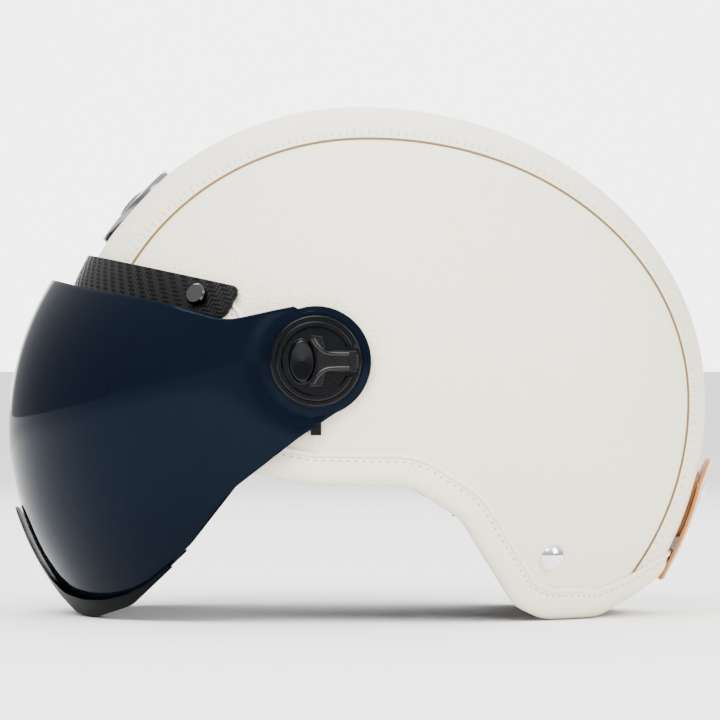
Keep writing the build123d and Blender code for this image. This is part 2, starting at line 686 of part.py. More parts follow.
# ---------------------------------------------------------------- chin strap
def web_height(margin):
    """Side view of the webbing: high at the hanger, lower behind the head."""
    half = WEB_WIDTH / 2 + margin
    line = [(-20, HANGER_Z), (STRAP_DROP_START, HANGER_Z), (STRAP_DROP_END, CHORD_Z), (90, CHORD_Z)]
    points = [(y, z + half) for y, z in line] + [(y, z - half) for y, z in reversed(line)]
    return across(side_face(points, [0.0, 30.0, 12.0, 0.0, 0.0, 12.0, 30.0, 0.0]))


def web(end_x, margin=0.0):
    """Left webbing from its hanger to end_x, thickened by margin on every side."""
    route = FilletPolyline(*STRAP_ROUTE, (end_x, CHORD_Y), radius=STRAP_BENDS)
    ribbon = offset(route, amount=WEB_WALL / 2 + margin, side=Side.BOTH)
    body = extrude(make_face(ribbon.edges()), amount=FAR)
    return (body & web_height(margin)) & dome(LINING_DEPTH - margin)


def web_left(margin=0.0):
    """Webbing that ends in the buckle's housing."""
    return web(HOUSING_END - 7, margin) - web_end_cut(HOUSING_END - 6)


def web_right():
    """Webbing that ends in the tongue's head."""
    end = -TONGUE_HEAD_START - TONGUE_HEAD_LENGTH / 2
    return mirrored(web(end) - web_end_cut(end))


def web_end_cut(x):
    """Squares off the webbing's end across the chord."""
    return Pos(x - 20, CHORD_Y, CHORD_Z) * Box(40, 20, 60)


def hanger_block(size):
    """Upright block around the left hanger."""
    return Pos(HALF_WIDTH - 20, HANGER_Y, HANGER_Z) * Box(60, size, size)


def strap_hanger():
    """Steel plate that lies in the foam behind the side pad."""
    plate = dome(FOAM_INSIDE - HANGER_WALL) - dome(FOAM_INSIDE)
    return plate & hanger_block(HANGER_SIZE)


def chord_box(x_start, x_end, wall, width, y_shift=0.0):
    """Block on the strap's chord, centred on the webbing."""
    middle = ((x_start + x_end) / 2, CHORD_Y + y_shift, CHORD_Z)
    return Pos(*middle) * Box(x_end - x_start, wall, width)


def z_peg(radius, height, x, y):
    """Upright round bar centred on the strap's height."""
    return Pos(x, y, CHORD_Z) * Cylinder(radius, height)


def pawl_axis_y():
    """Where the pawl's pin runs, just in front of the housing."""
    return CHORD_Y - HOUSING_WALL / 2 - PAWL_WALL / 2 - 0.3


def buckle_housing():
    """Housing with the tongue's slot, the pawl's window and two ears for its pin."""
    body = chord_box(HOUSING_START, HOUSING_END, HOUSING_WALL, HOUSING_WIDTH)
    body = fillet(body.edges().filter_by(Axis.X), 2.0)
    front = CHORD_Y - HOUSING_WALL / 2
    ear_width = (HOUSING_WIDTH - PAWL_WIDTH) / 2 - 0.5
    for side in (-1, 1):
        middle = side * (HOUSING_WIDTH - ear_width) / 2
        ear = Pos(PAWL_PIN_X, front - 1.2, CHORD_Z + middle) * Box(7, 6.4, ear_width)
        body += fillet(ear.edges().filter_by(Axis.Z).sort_by(Axis.Y)[:2], 2.4)
    slot_wall = TONGUE_WALL + 2 * TONGUE_GAP
    body -= chord_box(HOUSING_START - 1, TONGUE_TIP + 1, slot_wall, TONGUE_WIDTH + 2 * TONGUE_GAP)
    window = Pos((HOUSING_START + PAWL_PIN_X) / 2, front, CHORD_Z)
    body -= window * Box(20, HOUSING_WALL, TONGUE_WIDTH - 2)
    body -= chord_box(HOUSING_END - 8, HOUSING_END + 1, WEB_WALL + 2 * WEB_GAP, WEB_WIDTH + 0.6)
    return body - z_peg(PAWL_PIN_RADIUS, HOUSING_WIDTH + 2, PAWL_PIN_X, pawl_axis_y())


def pawl_lever():
    """Lever that turns on the pin and reaches into the window with its tooth."""
    y = pawl_axis_y()
    x_mid = (PAWL_TIP + PAWL_PIN_X) / 2
    lever = Pos(x_mid, y, CHORD_Z) * Box(PAWL_PIN_X - PAWL_TIP, PAWL_WALL, PAWL_WIDTH)
    lever = fillet(lever.edges().filter_by(Axis.Y).sort_by(Axis.X)[:2], 4.0)
    lever += z_peg(PAWL_WALL / 2, PAWL_WIDTH, PAWL_PIN_X, y)
    reach = HOUSING_WALL / 2 - TONGUE_WALL / 2 - 0.9
    tooth_x = (HOUSING_START + PAWL_PIN_X) / 2
    tooth = Pos(tooth_x, y + PAWL_WALL / 2 + reach / 2 - 0.3, CHORD_Z)
    lever += tooth * Box(PAWL_TOOTH, reach + 0.6, TONGUE_WIDTH - 5)
    return lever - z_peg(PAWL_PIN_RADIUS + RUNNING_GAP, 40, PAWL_PIN_X, y)


def pawl_pin():
    """Pin through the housing's ears."""
    return z_peg(PAWL_PIN_RADIUS, HOUSING_WIDTH, PAWL_PIN_X, pawl_axis_y())


def buckle_tongue():
    """Toothed tongue with a slotted head that holds the right webbing."""
    tongue = chord_box(TONGUE_HEAD_START + 4, TONGUE_TIP, TONGUE_WALL, TONGUE_WIDTH)
    tongue = fillet(tongue.edges().filter_by(Axis.Y).sort_by(Axis.X)[-2:], 4.0)
    head_end = TONGUE_HEAD_START + TONGUE_HEAD_LENGTH
    head = chord_box(TONGUE_HEAD_START, head_end, TONGUE_HEAD_WALL, HOUSING_WIDTH)
    head = fillet(head.edges().filter_by(Axis.Y), 3.0)
    tongue += head
    pocket_end = TONGUE_HEAD_START + TONGUE_HEAD_LENGTH / 2 + 1
    slot = chord_box(TONGUE_HEAD_START - 1, pocket_end, WEB_WALL + 2 * WEB_GAP, WEB_WIDTH + 0.6)
    tongue -= slot
    face = CHORD_Y - TONGUE_WALL / 2
    for step in range(TOOTH_COUNT):
        x = TONGUE_TIP - 6 - step * TOOTH_PITCH
        tooth = [(x, face - 0.1), (x, face + TOOTH_DEPTH), (x - TOOTH_PITCH * 0.8, face - 0.1)]
        notch = Face(Wire(Polyline(*tooth, close=True).edges()))
        notch = extrude(notch, amount=TONGUE_WIDTH - 3)
        tongue -= Pos(0, 0, CHORD_Z - (TONGUE_WIDTH - 3) / 2) * notch
    return tongue


def strap_adjuster():
    """Ladder buckle on the left webbing's sloping run."""
    start, end = Vector(*STRAP_ROUTE[2]), Vector(*STRAP_ROUTE[3])
    middle = (start + end) * 0.5
    slope = degrees(atan2(end.Y - start.Y, end.X - start.X))
    height = WEB_WIDTH + 2 * ADJUSTER_MARGIN
    place = Pos(middle.X, middle.Y, adjuster_z(middle.Y)) * Rot(0, 0, slope)
    body = place * Box(ADJUSTER_LENGTH, ADJUSTER_WALL, height)
    return body - web_left(WEB_GAP)


def adjuster_z(y):
    """Height of the webbing's middle on its sloping run."""
    share = (y - STRAP_DROP_START) / (STRAP_DROP_END - STRAP_DROP_START)
    return HANGER_Z + (CHORD_Z - HANGER_Z) * share


def chin_pad():
    """Soft pad behind the buckle."""
    shift = (HOUSING_WALL + CHIN_PAD_WALL) / 2 + SOFT_GAP
    pad = chord_box(CHIN_PAD_START, CHIN_PAD_END, CHIN_PAD_WALL, HOUSING_WIDTH, shift)
    return fillet(pad.edges().filter_by(Axis.Y), 4.0)


def main():
    """Builds every sub-part and writes its file."""
    os.makedirs("parts", exist_ok=True)
    write("outer_shell", outer_shell())
    write("edge_trim", edge_trim())
    centre, side, cord = panels()
    write("centre_panel", centre)
    write_pair("side_panel", side)
    write_pair("seam_piping", cord)
    write("brim_strip", brim_strip())
    rivet = brim_rivet()
    write("brim_rivets", Compound(children=[rivet, mirrored(rivet)]))
    write_pair("anchor_rivet", anchor_rivet())
    write("badge", badge())
    write("foam_liner", foam_liner())
    crown, brow, neck, cheek = lining_pads()
    write("crown_lining", crown)
    write("brow_pad", brow)
    write("neck_pad", neck)
    write_pair("side_pad", cheek)
    lens = visor_lens()
    write("visor_lens", lens)
    write("chin_trim", chin_trim(lens))
    write_pair("pivot_base", pivot_base())
    write_pair("pivot_cover", pivot_cover())
    write_pair("release_lever", release_lever())
    write_pair("release_spring", return_spring())
    write_pair("pivot_screw", pivot_screw())
    write_pair("t_nut", t_nut())
    write_pair("strap_hanger", strap_hanger())
    write("strap_left", web_left())
    write("strap_right", web_right())
    write("strap_adjuster", strap_adjuster())
    write("buckle_housing", buckle_housing())
    write("pawl_lever", pawl_lever())
    write("pawl_pin", pawl_pin())
    write("buckle_tongue", buckle_tongue())
    write("chin_pad", chin_pad())
    write("tab_patch", tab_patch())
    write("snap_stud", snap_stud())
    write("goggle_tab", goggle_tab())
    write("snap_cap", snap_cap())


main()
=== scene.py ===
import logging
import math
from bisect import bisect_left
from dataclasses import dataclass, field
from enum import Enum
from typing import Callable, Iterable, Sequence

import bpy
from mathutils import Matrix, Vector


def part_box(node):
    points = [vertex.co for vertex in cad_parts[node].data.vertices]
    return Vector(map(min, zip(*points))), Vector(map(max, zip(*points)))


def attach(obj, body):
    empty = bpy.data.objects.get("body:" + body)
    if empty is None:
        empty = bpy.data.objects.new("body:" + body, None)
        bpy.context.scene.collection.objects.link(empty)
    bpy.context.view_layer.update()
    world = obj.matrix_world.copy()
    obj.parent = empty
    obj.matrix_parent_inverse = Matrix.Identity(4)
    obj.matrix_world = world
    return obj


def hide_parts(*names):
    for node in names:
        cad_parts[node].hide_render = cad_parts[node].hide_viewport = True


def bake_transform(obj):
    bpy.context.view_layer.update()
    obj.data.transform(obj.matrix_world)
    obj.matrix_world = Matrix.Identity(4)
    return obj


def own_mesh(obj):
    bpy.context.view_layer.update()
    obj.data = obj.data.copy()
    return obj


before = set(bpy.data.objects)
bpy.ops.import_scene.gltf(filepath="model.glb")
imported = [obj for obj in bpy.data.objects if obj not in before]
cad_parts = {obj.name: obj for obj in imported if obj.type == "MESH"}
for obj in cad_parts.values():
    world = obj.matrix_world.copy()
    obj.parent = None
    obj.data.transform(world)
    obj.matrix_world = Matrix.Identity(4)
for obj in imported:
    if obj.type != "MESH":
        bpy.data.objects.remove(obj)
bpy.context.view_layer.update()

LOG = logging.getLogger("helmet")
Point2 = tuple[float, float]
MM = 0.001


class Side(Enum):
    """The wearer's left or right."""

    LEFT = 1
    RIGHT = -1

    @property
    def word(self) -> str:
        """The side's name as the nodes use it."""
        return self.name.lower()


# ------------------------------------------------------------------ mesh helpers
def select_only(piece: bpy.types.Object) -> None:
    """Deselects everything, then selects one piece and makes it active.

    Args:
        piece: the object to work on.
    """
    bpy.ops.object.select_all(action="DESELECT")
    piece.select_set(True)
    bpy.context.view_layer.objects.active = piece


def in_edit(piece: bpy.types.Object, *steps: Callable[[], object]) -> None:
    """Runs edit-mode operators on the whole mesh.

    Args:
        piece: the object to edit.
        steps: calls to make in edit mode, in order, with everything selected.
    """
    select_only(piece)
    bpy.ops.object.mode_set(mode="EDIT")
    bpy.ops.mesh.select_all(action="SELECT")
    for step in steps:
        step()
    bpy.ops.object.mode_set(mode="OBJECT")


def merge(piece: bpy.types.Object, distance: float = 1e-5) -> None:
    """Welds vertices that lie together."""
    in_edit(piece, lambda: bpy.ops.mesh.remove_doubles(threshold=distance))


def recalculate(piece: bpy.types.Object) -> None:
    """Turns every face of a closed mesh outwards."""
    in_edit(piece, lambda: bpy.ops.mesh.normals_make_consistent(inside=False))


def add_modifier(piece: bpy.types.Object, kind: str, **values: object) -> None:
    """Adds one modifier with its settings and applies it.

    Args:
        piece: the object to work on.
        kind: the modifier's type.
        values: the modifier's settings.
    """
    select_only(piece)
    modifier = piece.modifiers.new(kind.lower(), kind)
    for key, value in values.items():
        setattr(modifier, key, value)
    bpy.ops.object.modifier_apply(modifier=modifier.name)


def shade(piece: bpy.types.Object, degrees: float = 35.0) -> None:
    """Smooth shading, kept sharp across edges above an angle."""
    select_only(piece)
    bpy.ops.object.shade_smooth_by_angle(angle=math.radians(degrees))


def grid(
    name: str,
    columns: int,
    rows: int,
    place: Callable[[float, float], Vector],
    uv: Callable[[float, float], Point2] | None = None,
) -> bpy.types.Object:
    """A grid primitive wrapped onto a surface.

    Args:
        name: the new piece's name.
        columns: faces along the first direction.
        rows: faces along the second direction.
        place: where a point of the unit square goes.
        uv: its place in the piece's own map, in metres.

    Returns:
        The new object, with its place in its mesh.
    """
    bpy.ops.mesh.primitive_grid_add(x_subdivisions=columns, y_subdivisions=rows, size=2)
    piece = bpy.context.active_object
    piece.name = name
    mesh = piece.data
    mesh.name = name
    spots = [((v.co.x + 1) / 2, (v.co.y + 1) / 2) for v in mesh.vertices]
    if uv:
        layer = mesh.uv_layers.active
        for loop in mesh.loops:
            layer.data[loop.index].uv = uv(*spots[loop.vertex_index])
    for vertex, (u, v) in zip(mesh.vertices, spots):
        vertex.co = place(min(max(u, 0.0), 1.0), min(max(v, 0.0), 1.0))
    mesh.update()
    return piece


def face_away(piece: bpy.types.Object, centre: Vector) -> None:
    """Flips an open sheet so that most of its faces look away from a point.

    Args:
        piece: the object to work on.
        centre: the point that the faces turn away from.
    """
    mesh = piece.data
    outward = sum((f.center - centre).dot(f.normal) * f.area for f in mesh.polygons)
    if outward < 0:
        in_edit(piece, lambda: bpy.ops.mesh.flip_normals())


def tube(
    name: str,
    points: Sequence[Vector],
    radius: float,
    closed: bool = False,
    sides: int = 10,
    flat: float = 1.0,
) -> bpy.types.Object:
    """A round or flattened tube along points.

    Args:
        name: the new piece's name.
        points: the centre line, evenly spaced.
        radius: half the tube's width.
        closed: whether the last point joins the first.
        sides: faces round the tube.
        flat: thickness as a share of the width.

    Returns:
        The tube, closed at its ends.
    """
    count = len(points)
    frames = []
    up = None
    for index, point in enumerate(points):
        ahead = points[(index + 1) % count] if closed or index + 1 < count else point
        behind = points[index - 1] if closed or index else point
        along = (ahead - behind).normalized()
        side = along.cross(up if up else Vector((0.3, 0.2, 0.93))).normalized()
        up = side.cross(along).normalized()
        frames.append((point, side, up))

    def place(u: float, v: float) -> Vector:
        """Where a point of the unit square goes.

        Args:
            u: share along the first direction.
            v: share along the second direction.

        Returns:
            The point.
        """
        step = round(u * (count if closed else count - 1)) % count
        point, side, rise = frames[step]
        turn = 2 * math.pi * v
        return point + side * radius * math.cos(turn) + rise * radius * flat * math.sin(turn)

    piece = grid(name, count if closed else count - 1, sides, place)
    merge(piece)
    if not closed:
        in_edit(
            piece,
            lambda: bpy.ops.mesh.select_all(action="DESELECT"),
            lambda: bpy.ops.mesh.select_non_manifold(),
            lambda: bpy.ops.mesh.edge_face_add(),
        )
    recalculate(piece)
    return piece


def join(name: str, pieces: Sequence[bpy.types.Object]) -> bpy.types.Object:
    """Joins pieces into the first of them.

    Args:
        name: the joined piece's name.
        pieces: the pieces to join.

    Returns:
        The joined piece.
    """
    bpy.ops.object.select_all(action="DESELECT")
    for piece in pieces:
        piece.select_set(True)
    bpy.context.view_layer.objects.active = pieces[0]
    if len(pieces) > 1:
        bpy.ops.object.join()
    pieces[0].name = name
    return pieces[0]


def mirror_copy(piece: bpy.types.Object, name: str) -> bpy.types.Object:
    """The same piece on the wearer's other side, with its own mesh.

    Args:
        piece: the left piece.
        name: the new piece's name.

    Returns:
        The copy.
    """
    copy = piece.copy()
    copy.data = piece.data.copy()
    copy.name = name
    bpy.context.scene.collection.objects.link(copy)
    copy.data.transform(Matrix.Scale(-1, 4, Vector((1, 0, 0))))
    in_edit(copy, lambda: bpy.ops.mesh.flip_normals())
    return copy


def cad_copy(node: str, name: str, bevel: float = 0.0, degrees: float = 30.0) -> bpy.types.Object:
    """A welded, smooth-shaded copy of a CAD node.

    Args:
        node: the CAD node to copy.
        name: the copy's name.
        bevel: width of the rounding put on its sharp edges, in metres.
        degrees: edges above this angle stay sharp.

    Returns:
        The copy, which doesn't hide the node yet.
    """
    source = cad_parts[node]
    copy = source.copy()
    copy.data = source.data.copy()
    copy.name = name
    copy.parent = None
    copy.matrix_world = Matrix.Identity(4)
    for key in list(copy.keys()):
        del copy[key]
    bpy.context.scene.collection.objects.link(copy)
    in_edit(
        copy,
        lambda: bpy.ops.mesh.customdata_custom_splitnormals_clear(),
        lambda: bpy.ops.mesh.remove_doubles(threshold=2e-6),
    )
    if bevel:
        shade(copy, degrees)
        in_edit(copy, lambda: bpy.ops.mesh.dissolve_limited(angle_limit=math.radians(0.5)))
        add_modifier(
            copy, "BEVEL", width=bevel, segments=2, limit_method="ANGLE",
            angle_limit=math.radians(degrees), harden_normals=True,
        )
        return copy
    shade(copy, degrees)
    return copy


# ------------------------------------------------------------------ shader helpers
class Shader:
    """A Principled material under construction."""

    def __init__(self, name: str, **sockets: object) -> None:
        """Starts a material with its surface's values.

        Args:
            name: the material's name.
            sockets: the surface's values.
        """
        self.material = bpy.data.materials.new(name)
        self.material.use_nodes = True
        self.tree = self.material.node_tree
        self.surface = self.tree.nodes["Principled BSDF"]
        for key, value in sockets.items():
            self.surface.inputs[key.replace("_", " ")].default_value = value

    def add(self, kind: str, inputs: dict | None = None, **settings: object) -> bpy.types.Node:
        """Adds a node.

        Args:
            kind: the node's type without its prefix.
            inputs: socket values or the sockets that feed them.
            settings: the node's own properties.

        Returns:
            The node.
        """
        node = self.tree.nodes.new("ShaderNode" + kind)
        for key, value in settings.items():
            setattr(node, key, value)
        for key, value in (inputs or {}).items():
            if isinstance(value, bpy.types.NodeSocket):
                self.tree.links.new(value, node.inputs[key])
            else:
                node.inputs[key].default_value = value
        return node

    def sum(self, operation: str, first: object, second: object = 0.0) -> bpy.types.NodeSocket:
        """One Math node."""
        return self.add("Math", {0: first, 1: second}, operation=operation).outputs[0]

    def coordinates(self) -> bpy.types.NodeSocket:
        """Object coordinates."""
        return self.add("TexCoord").outputs["Object"]

    def own_map(self) -> tuple[bpy.types.NodeSocket, bpy.types.NodeSocket]:
        """The two directions of the piece's own map, in metres."""
        split = self.add("SeparateXYZ", {0: self.add("TexCoord").outputs["UV"]})
        return split.outputs[0], split.outputs[1]

    def noise(self, scale: float, detail: float = 3.0) -> bpy.types.NodeSocket:
        """Noise over object coordinates."""
        inputs = {"Vector": self.coordinates(), "Scale": scale, "Detail": detail}
        return self.add("TexNoise", inputs).outputs["Fac"]

    def blend(self, factor: object, low: tuple, high: tuple) -> bpy.types.NodeSocket:
        """A colour between two.

        Args:
            factor: the second colour's share.
            low: the first colour.
            high: the second colour.

        Returns:
            The colour's socket.
        """
        node = self.add("Mix", {"Factor": factor}, data_type="RGBA")
        node.inputs[6].default_value = low
        node.inputs[7].default_value = high
        return node.outputs[2]

    def spread(self, value: object, low: float, high: float) -> bpy.types.NodeSocket:
        """Maps 0 to 1 onto a range."""
        return self.add("MapRange", {"Value": value, "To Min": low, "To Max": high}).outputs[0]

    def link(self, socket: str, value: bpy.types.NodeSocket) -> None:
        """Feeds one of the surface's sockets."""
        self.tree.links.new(value, self.surface.inputs[socket])

    def bump(self, height: bpy.types.NodeSocket, distance: float, strength: float = 1.0) -> None:
        """Adds relief on top of what is already there.

        Args:
            height: the relief, from 0 to 1.
            distance: how deep the relief goes, in metres.
            strength: how much of it shows.
        """
        inputs = {"Height": height, "Distance": distance, "Strength": strength}
        node = self.add("Bump", inputs)
        before = self.surface.inputs["Normal"].links
        if before:
            self.tree.links.new(before[0].from_socket, node.inputs["Normal"])
        self.tree.links.new(node.outputs[0], self.surface.inputs["Normal"])


# ------------------------------------------------------------------ finishes
@dataclass(frozen=True)
class LeatherFinish:
    """Grained leather, with needle holes beside its seams where it has a seam map; the holes are darkened
    with painted shade.
    """

    name: str
    light: tuple
    dark: tuple
    roughness: float = 0.5
    grain: float = 850.0
    relief: float = 0.0005
    seam_holes: bool = False
    hole_pitch: float = 0.0034
    hole_distance: float = 0.0052
    row_gap: float = 0.0026
    hole_radius: float = 0.00042

    def material(self) -> bpy.types.Material:
        """Builds the leather.

        Returns:
            The material.
        """
        shader = Shader(self.name, Roughness=self.roughness)
        shader.surface.inputs["Specular IOR Level"].default_value = 0.4
        tone = shader.noise(14.0, 4.0)
        cells = shader.add(
            "TexVoronoi",
            {"Vector": shader.coordinates(), "Scale": self.grain, "Randomness": 0.9},
            feature="SMOOTH_F1",
        ).outputs["Distance"]
        fine = shader.noise(2600.0, 2.0)
        mottled = shader.sum("ADD", shader.sum("MULTIPLY", tone, 0.8), shader.sum("MULTIPLY", fine, 0.2))
        colour = shader.blend(shader.spread(mottled, 0.0, 1.0), self.dark, self.light)
        height = shader.sum("ADD", cells, shader.sum("MULTIPLY", fine, 0.35))
        if self.seam_holes:
            hole = self._holes(shader)
            # The holes are mixed toward dark brown: painted shade inside the needle holes. The height dip
            # below is their real relief.
            hole_painted_shade = shader.add("Mix", {"Factor": shader.sum("MULTIPLY", hole, 0.4)}, data_type="RGBA")
            shader.tree.links.new(colour, hole_painted_shade.inputs[6])
            hole_painted_shade.inputs[7].default_value = (0.16, 0.13, 0.1, 1)
            colour = hole_painted_shade.outputs[2]
            height = shader.sum("SUBTRACT", height, shader.sum("MULTIPLY", hole, 1.6))
        shader.link("Base Color", colour)
        shader.link("Roughness", shader.spread(fine, self.roughness - 0.07, self.roughness + 0.09))
        shader.bump(height, self.relief)
        return shader.material

    def _holes(self, shader: Shader) -> bpy.types.NodeSocket:
        """Two rows of needle holes on the centre panel's side of the seam.

        Args:
            shader: the material's nodes.

        Returns:
            The height of the holes.
        """
        along, off = shader.own_map()
        cycle = shader.sum("FRACT", shader.sum("DIVIDE", along, self.hole_pitch))
        across = shader.sum("MULTIPLY", shader.sum("SUBTRACT", cycle, 0.5), self.hole_pitch)
        middle = shader.sum("ABSOLUTE", shader.sum("ADD", off, self.hole_distance))
        away = shader.sum("SUBTRACT", middle, self.row_gap / 2)
        square = shader.sum("ADD", shader.sum("POWER", across, 2.0), shader.sum("POWER", away, 2.0))
        ratio = shader.sum("DIVIDE", shader.sum("SQRT", square), self.hole_radius)
        near = shader.add("MapRange", {"Value": ratio, "From Min": 1.3, "From Max": 0.5})
        return near.outputs[0]


@dataclass(frozen=True)
class PlasticFinish:
    """Moulded plastic."""

    name: str
    colour: tuple
    roughness: float = 0.35
    coat: float = 0.0
    specular: float = 0.5
    texture: float = 0.00002

    def material(self) -> bpy.types.Material:
        """Builds the plastic.

        Returns:
            The material.
        """
        shader = Shader(self.name, Base_Color=self.colour, Roughness=self.roughness)
        shader.surface.inputs["Specular IOR Level"].default_value = self.specular
        shader.surface.inputs["Coat Weight"].default_value = self.coat
        shader.surface.inputs["Coat Roughness"].default_value = 0.04
        grain = shader.noise(1800.0, 3.0)
        worn = shader.noise(60.0, 4.0)
        mixed = shader.sum("ADD", shader.sum("MULTIPLY", grain, 0.4), shader.sum("MULTIPLY", worn, 0.6))
        shader.link("Roughness", shader.spread(mixed, self.roughness * 0.8, self.roughness * 1.25))
        shader.bump(grain, self.texture)
        return shader.material


@dataclass(frozen=True)
class LensFinish:
    """Dark smoke polycarbonate."""

    name: str = "smoke_polycarbonate"
    tint: tuple = (0.0022, 0.0036, 0.0075, 1)

    def material(self) -> bpy.types.Material:
        """Builds the lens material.

        Returns:
            The material.
        """
        shader = Shader(self.name, Base_Color=self.tint, Roughness=0.03, IOR=1.42)
        shader.surface.inputs["Specular Tint"].default_value = (0.5, 0.72, 1.0, 1)
        shader.surface.inputs["Transmission Weight"].default_value = 0.12
        shader.surface.inputs["Specular IOR Level"].default_value = 0.035
        haze = shader.noise(28.0, 2.0)
        shader.link("Roughness", shader.spread(haze, 0.02, 0.07))
        tint = shader.blend(shader.noise(6.0, 1.0), self.tint, tuple(1.25 * c for c in self.tint))
        shader.link("Base Color", tint)
        return shader.material


@dataclass(frozen=True)
class MetalFinish:
    """Polished or plated metal."""

    name: str
    colour: tuple
    roughness: float = 0.12

    def material(self) -> bpy.types.Material:
        """Builds the metal.

        Returns:
            The material.
        """
        shader = Shader(self.name, Base_Color=self.colour, Metallic=1.0, Roughness=self.roughness)
        rubbed = shader.noise(260.0, 5.0)
        shader.link("Roughness", shader.spread(rubbed, self.roughness * 0.6, self.roughness * 1.7))
        shader.bump(shader.noise(900.0, 2.0), 0.000015)
        return shader.material


@dataclass(frozen=True)
class CarbonFinish:
    """Black twill weave, laid out by the piece's own map."""

    name: str = "carbon_twill"
    tow: float = 0.0017

    def material(self) -> bpy.types.Material:
        """Builds the weave.

        Returns:
            The material.
        """
        shader = Shader(self.name, Roughness=0.34)
        shader.surface.inputs["Specular IOR Level"].default_value = 0.1
        shader.surface.inputs["Coat Weight"].default_value = 0.0
        shader.surface.inputs["Coat Roughness"].default_value = 0.06
        along, up = shader.own_map()
        column = shader.sum("DIVIDE", along, self.tow)
        row = shader.sum("DIVIDE", up, self.tow)
        cell = shader.sum("ADD", shader.sum("FLOOR", column), shader.sum("FLOOR", row))
        over = shader.sum("LESS_THAN", shader.sum("FLOORED_MODULO", cell, 4.0), 1.5)
        warp = shader.sum("SINE", shader.sum("MULTIPLY", shader.sum("FRACT", column), math.pi))
        weft = shader.sum("SINE", shader.sum("MULTIPLY", shader.sum("FRACT", row), math.pi))
        top = shader.sum("MULTIPLY", over, warp)
        low = shader.sum("MULTIPLY", shader.sum("SUBTRACT", 1.0, over), weft)
        height = shader.sum("ADD", top, low)
        # The twill pattern decides which tows lie over. The colour is also brighter on over tows than under
        # tows, and brighter along each tow's crest than at its edges: painted highlight on the crests and
        # painted shade in the valleys.
        gloss = shader.sum("ADD", shader.sum("MULTIPLY", over, 0.75), 0.25)
        painted_tow_sheen = shader.sum("MULTIPLY", gloss, height)
        valley_painted_shade = (0.0006, 0.0006, 0.0007, 1)
        crest_painted_highlight = (0.0075, 0.0078, 0.009, 1)
        shader.link("Base Color", shader.blend(painted_tow_sheen, valley_painted_shade, crest_painted_highlight))
        shader.link("Roughness", shader.spread(over, 0.48, 0.26))
        shader.bump(height, 0.00016)
        return shader.material


@dataclass(frozen=True)
class ClothFinish:
    """Brushed knit for the lining, or ribbed webbing where it has its own map."""

    name: str
    light: tuple
    dark: tuple
    pitch: float = 0.0011
    ribbed: bool = False

    def material(self) -> bpy.types.Material:
        """Builds the cloth.

        Returns:
            The material.
        """
        shader = Shader(self.name, Roughness=0.9)
        shader.surface.inputs["Sheen Weight"].default_value = 0.35
        shader.surface.inputs["Sheen Roughness"].default_value = 0.5
        fuzz = shader.noise(1500.0, 4.0)
        if self.ribbed:
            along, across = shader.own_map()
            rib = shader.sum("SINE", shader.sum("MULTIPLY", along, 2 * math.pi / self.pitch))
            cord = shader.sum("SINE", shader.sum("MULTIPLY", across, 2 * math.pi / (self.pitch * 1.4)))
            weave = shader.sum("MULTIPLY", rib, cord)
        else:
            scaled = shader.add(
                "VectorMath", {0: shader.coordinates(), 1: (1 / self.pitch,) * 3}, operation="MULTIPLY"
            ).outputs[0]
            cells = {"Vector": scaled, "Scale": 1.0, "Randomness": 0.25}
            weave = shader.add("TexVoronoi", cells).outputs["Distance"]
        mixed = shader.sum("ADD", shader.sum("MULTIPLY", weave, 0.5), shader.sum("MULTIPLY", fuzz, 0.7))
        shader.link("Base Color", shader.blend(mixed, self.dark, self.light))
        shader.bump(mixed, 0.0003)
        return shader.material


@dataclass(frozen=True)
class FoamFinish:
    """Moulded bead foam."""

    name: str = "bead_foam"
    bead: float = 320.0

    def material(self) -> bpy.types.Material:
        """Builds the foam.

        Returns:
            The material.
        """
        shader = Shader(self.name, Roughness=0.85)
        beads = shader.add(
            "TexVoronoi", {"Vector": shader.coordinates(), "Scale": self.bead}
        ).outputs["Distance"]
        dark, light = (0.004, 0.004, 0.0045, 1), (0.02, 0.02, 0.021, 1)
        shader.link("Base Color", shader.blend(beads, light, dark))
        shader.bump(shader.sum("SUBTRACT", 1.0, beads), 0.0006)
        return shader.material


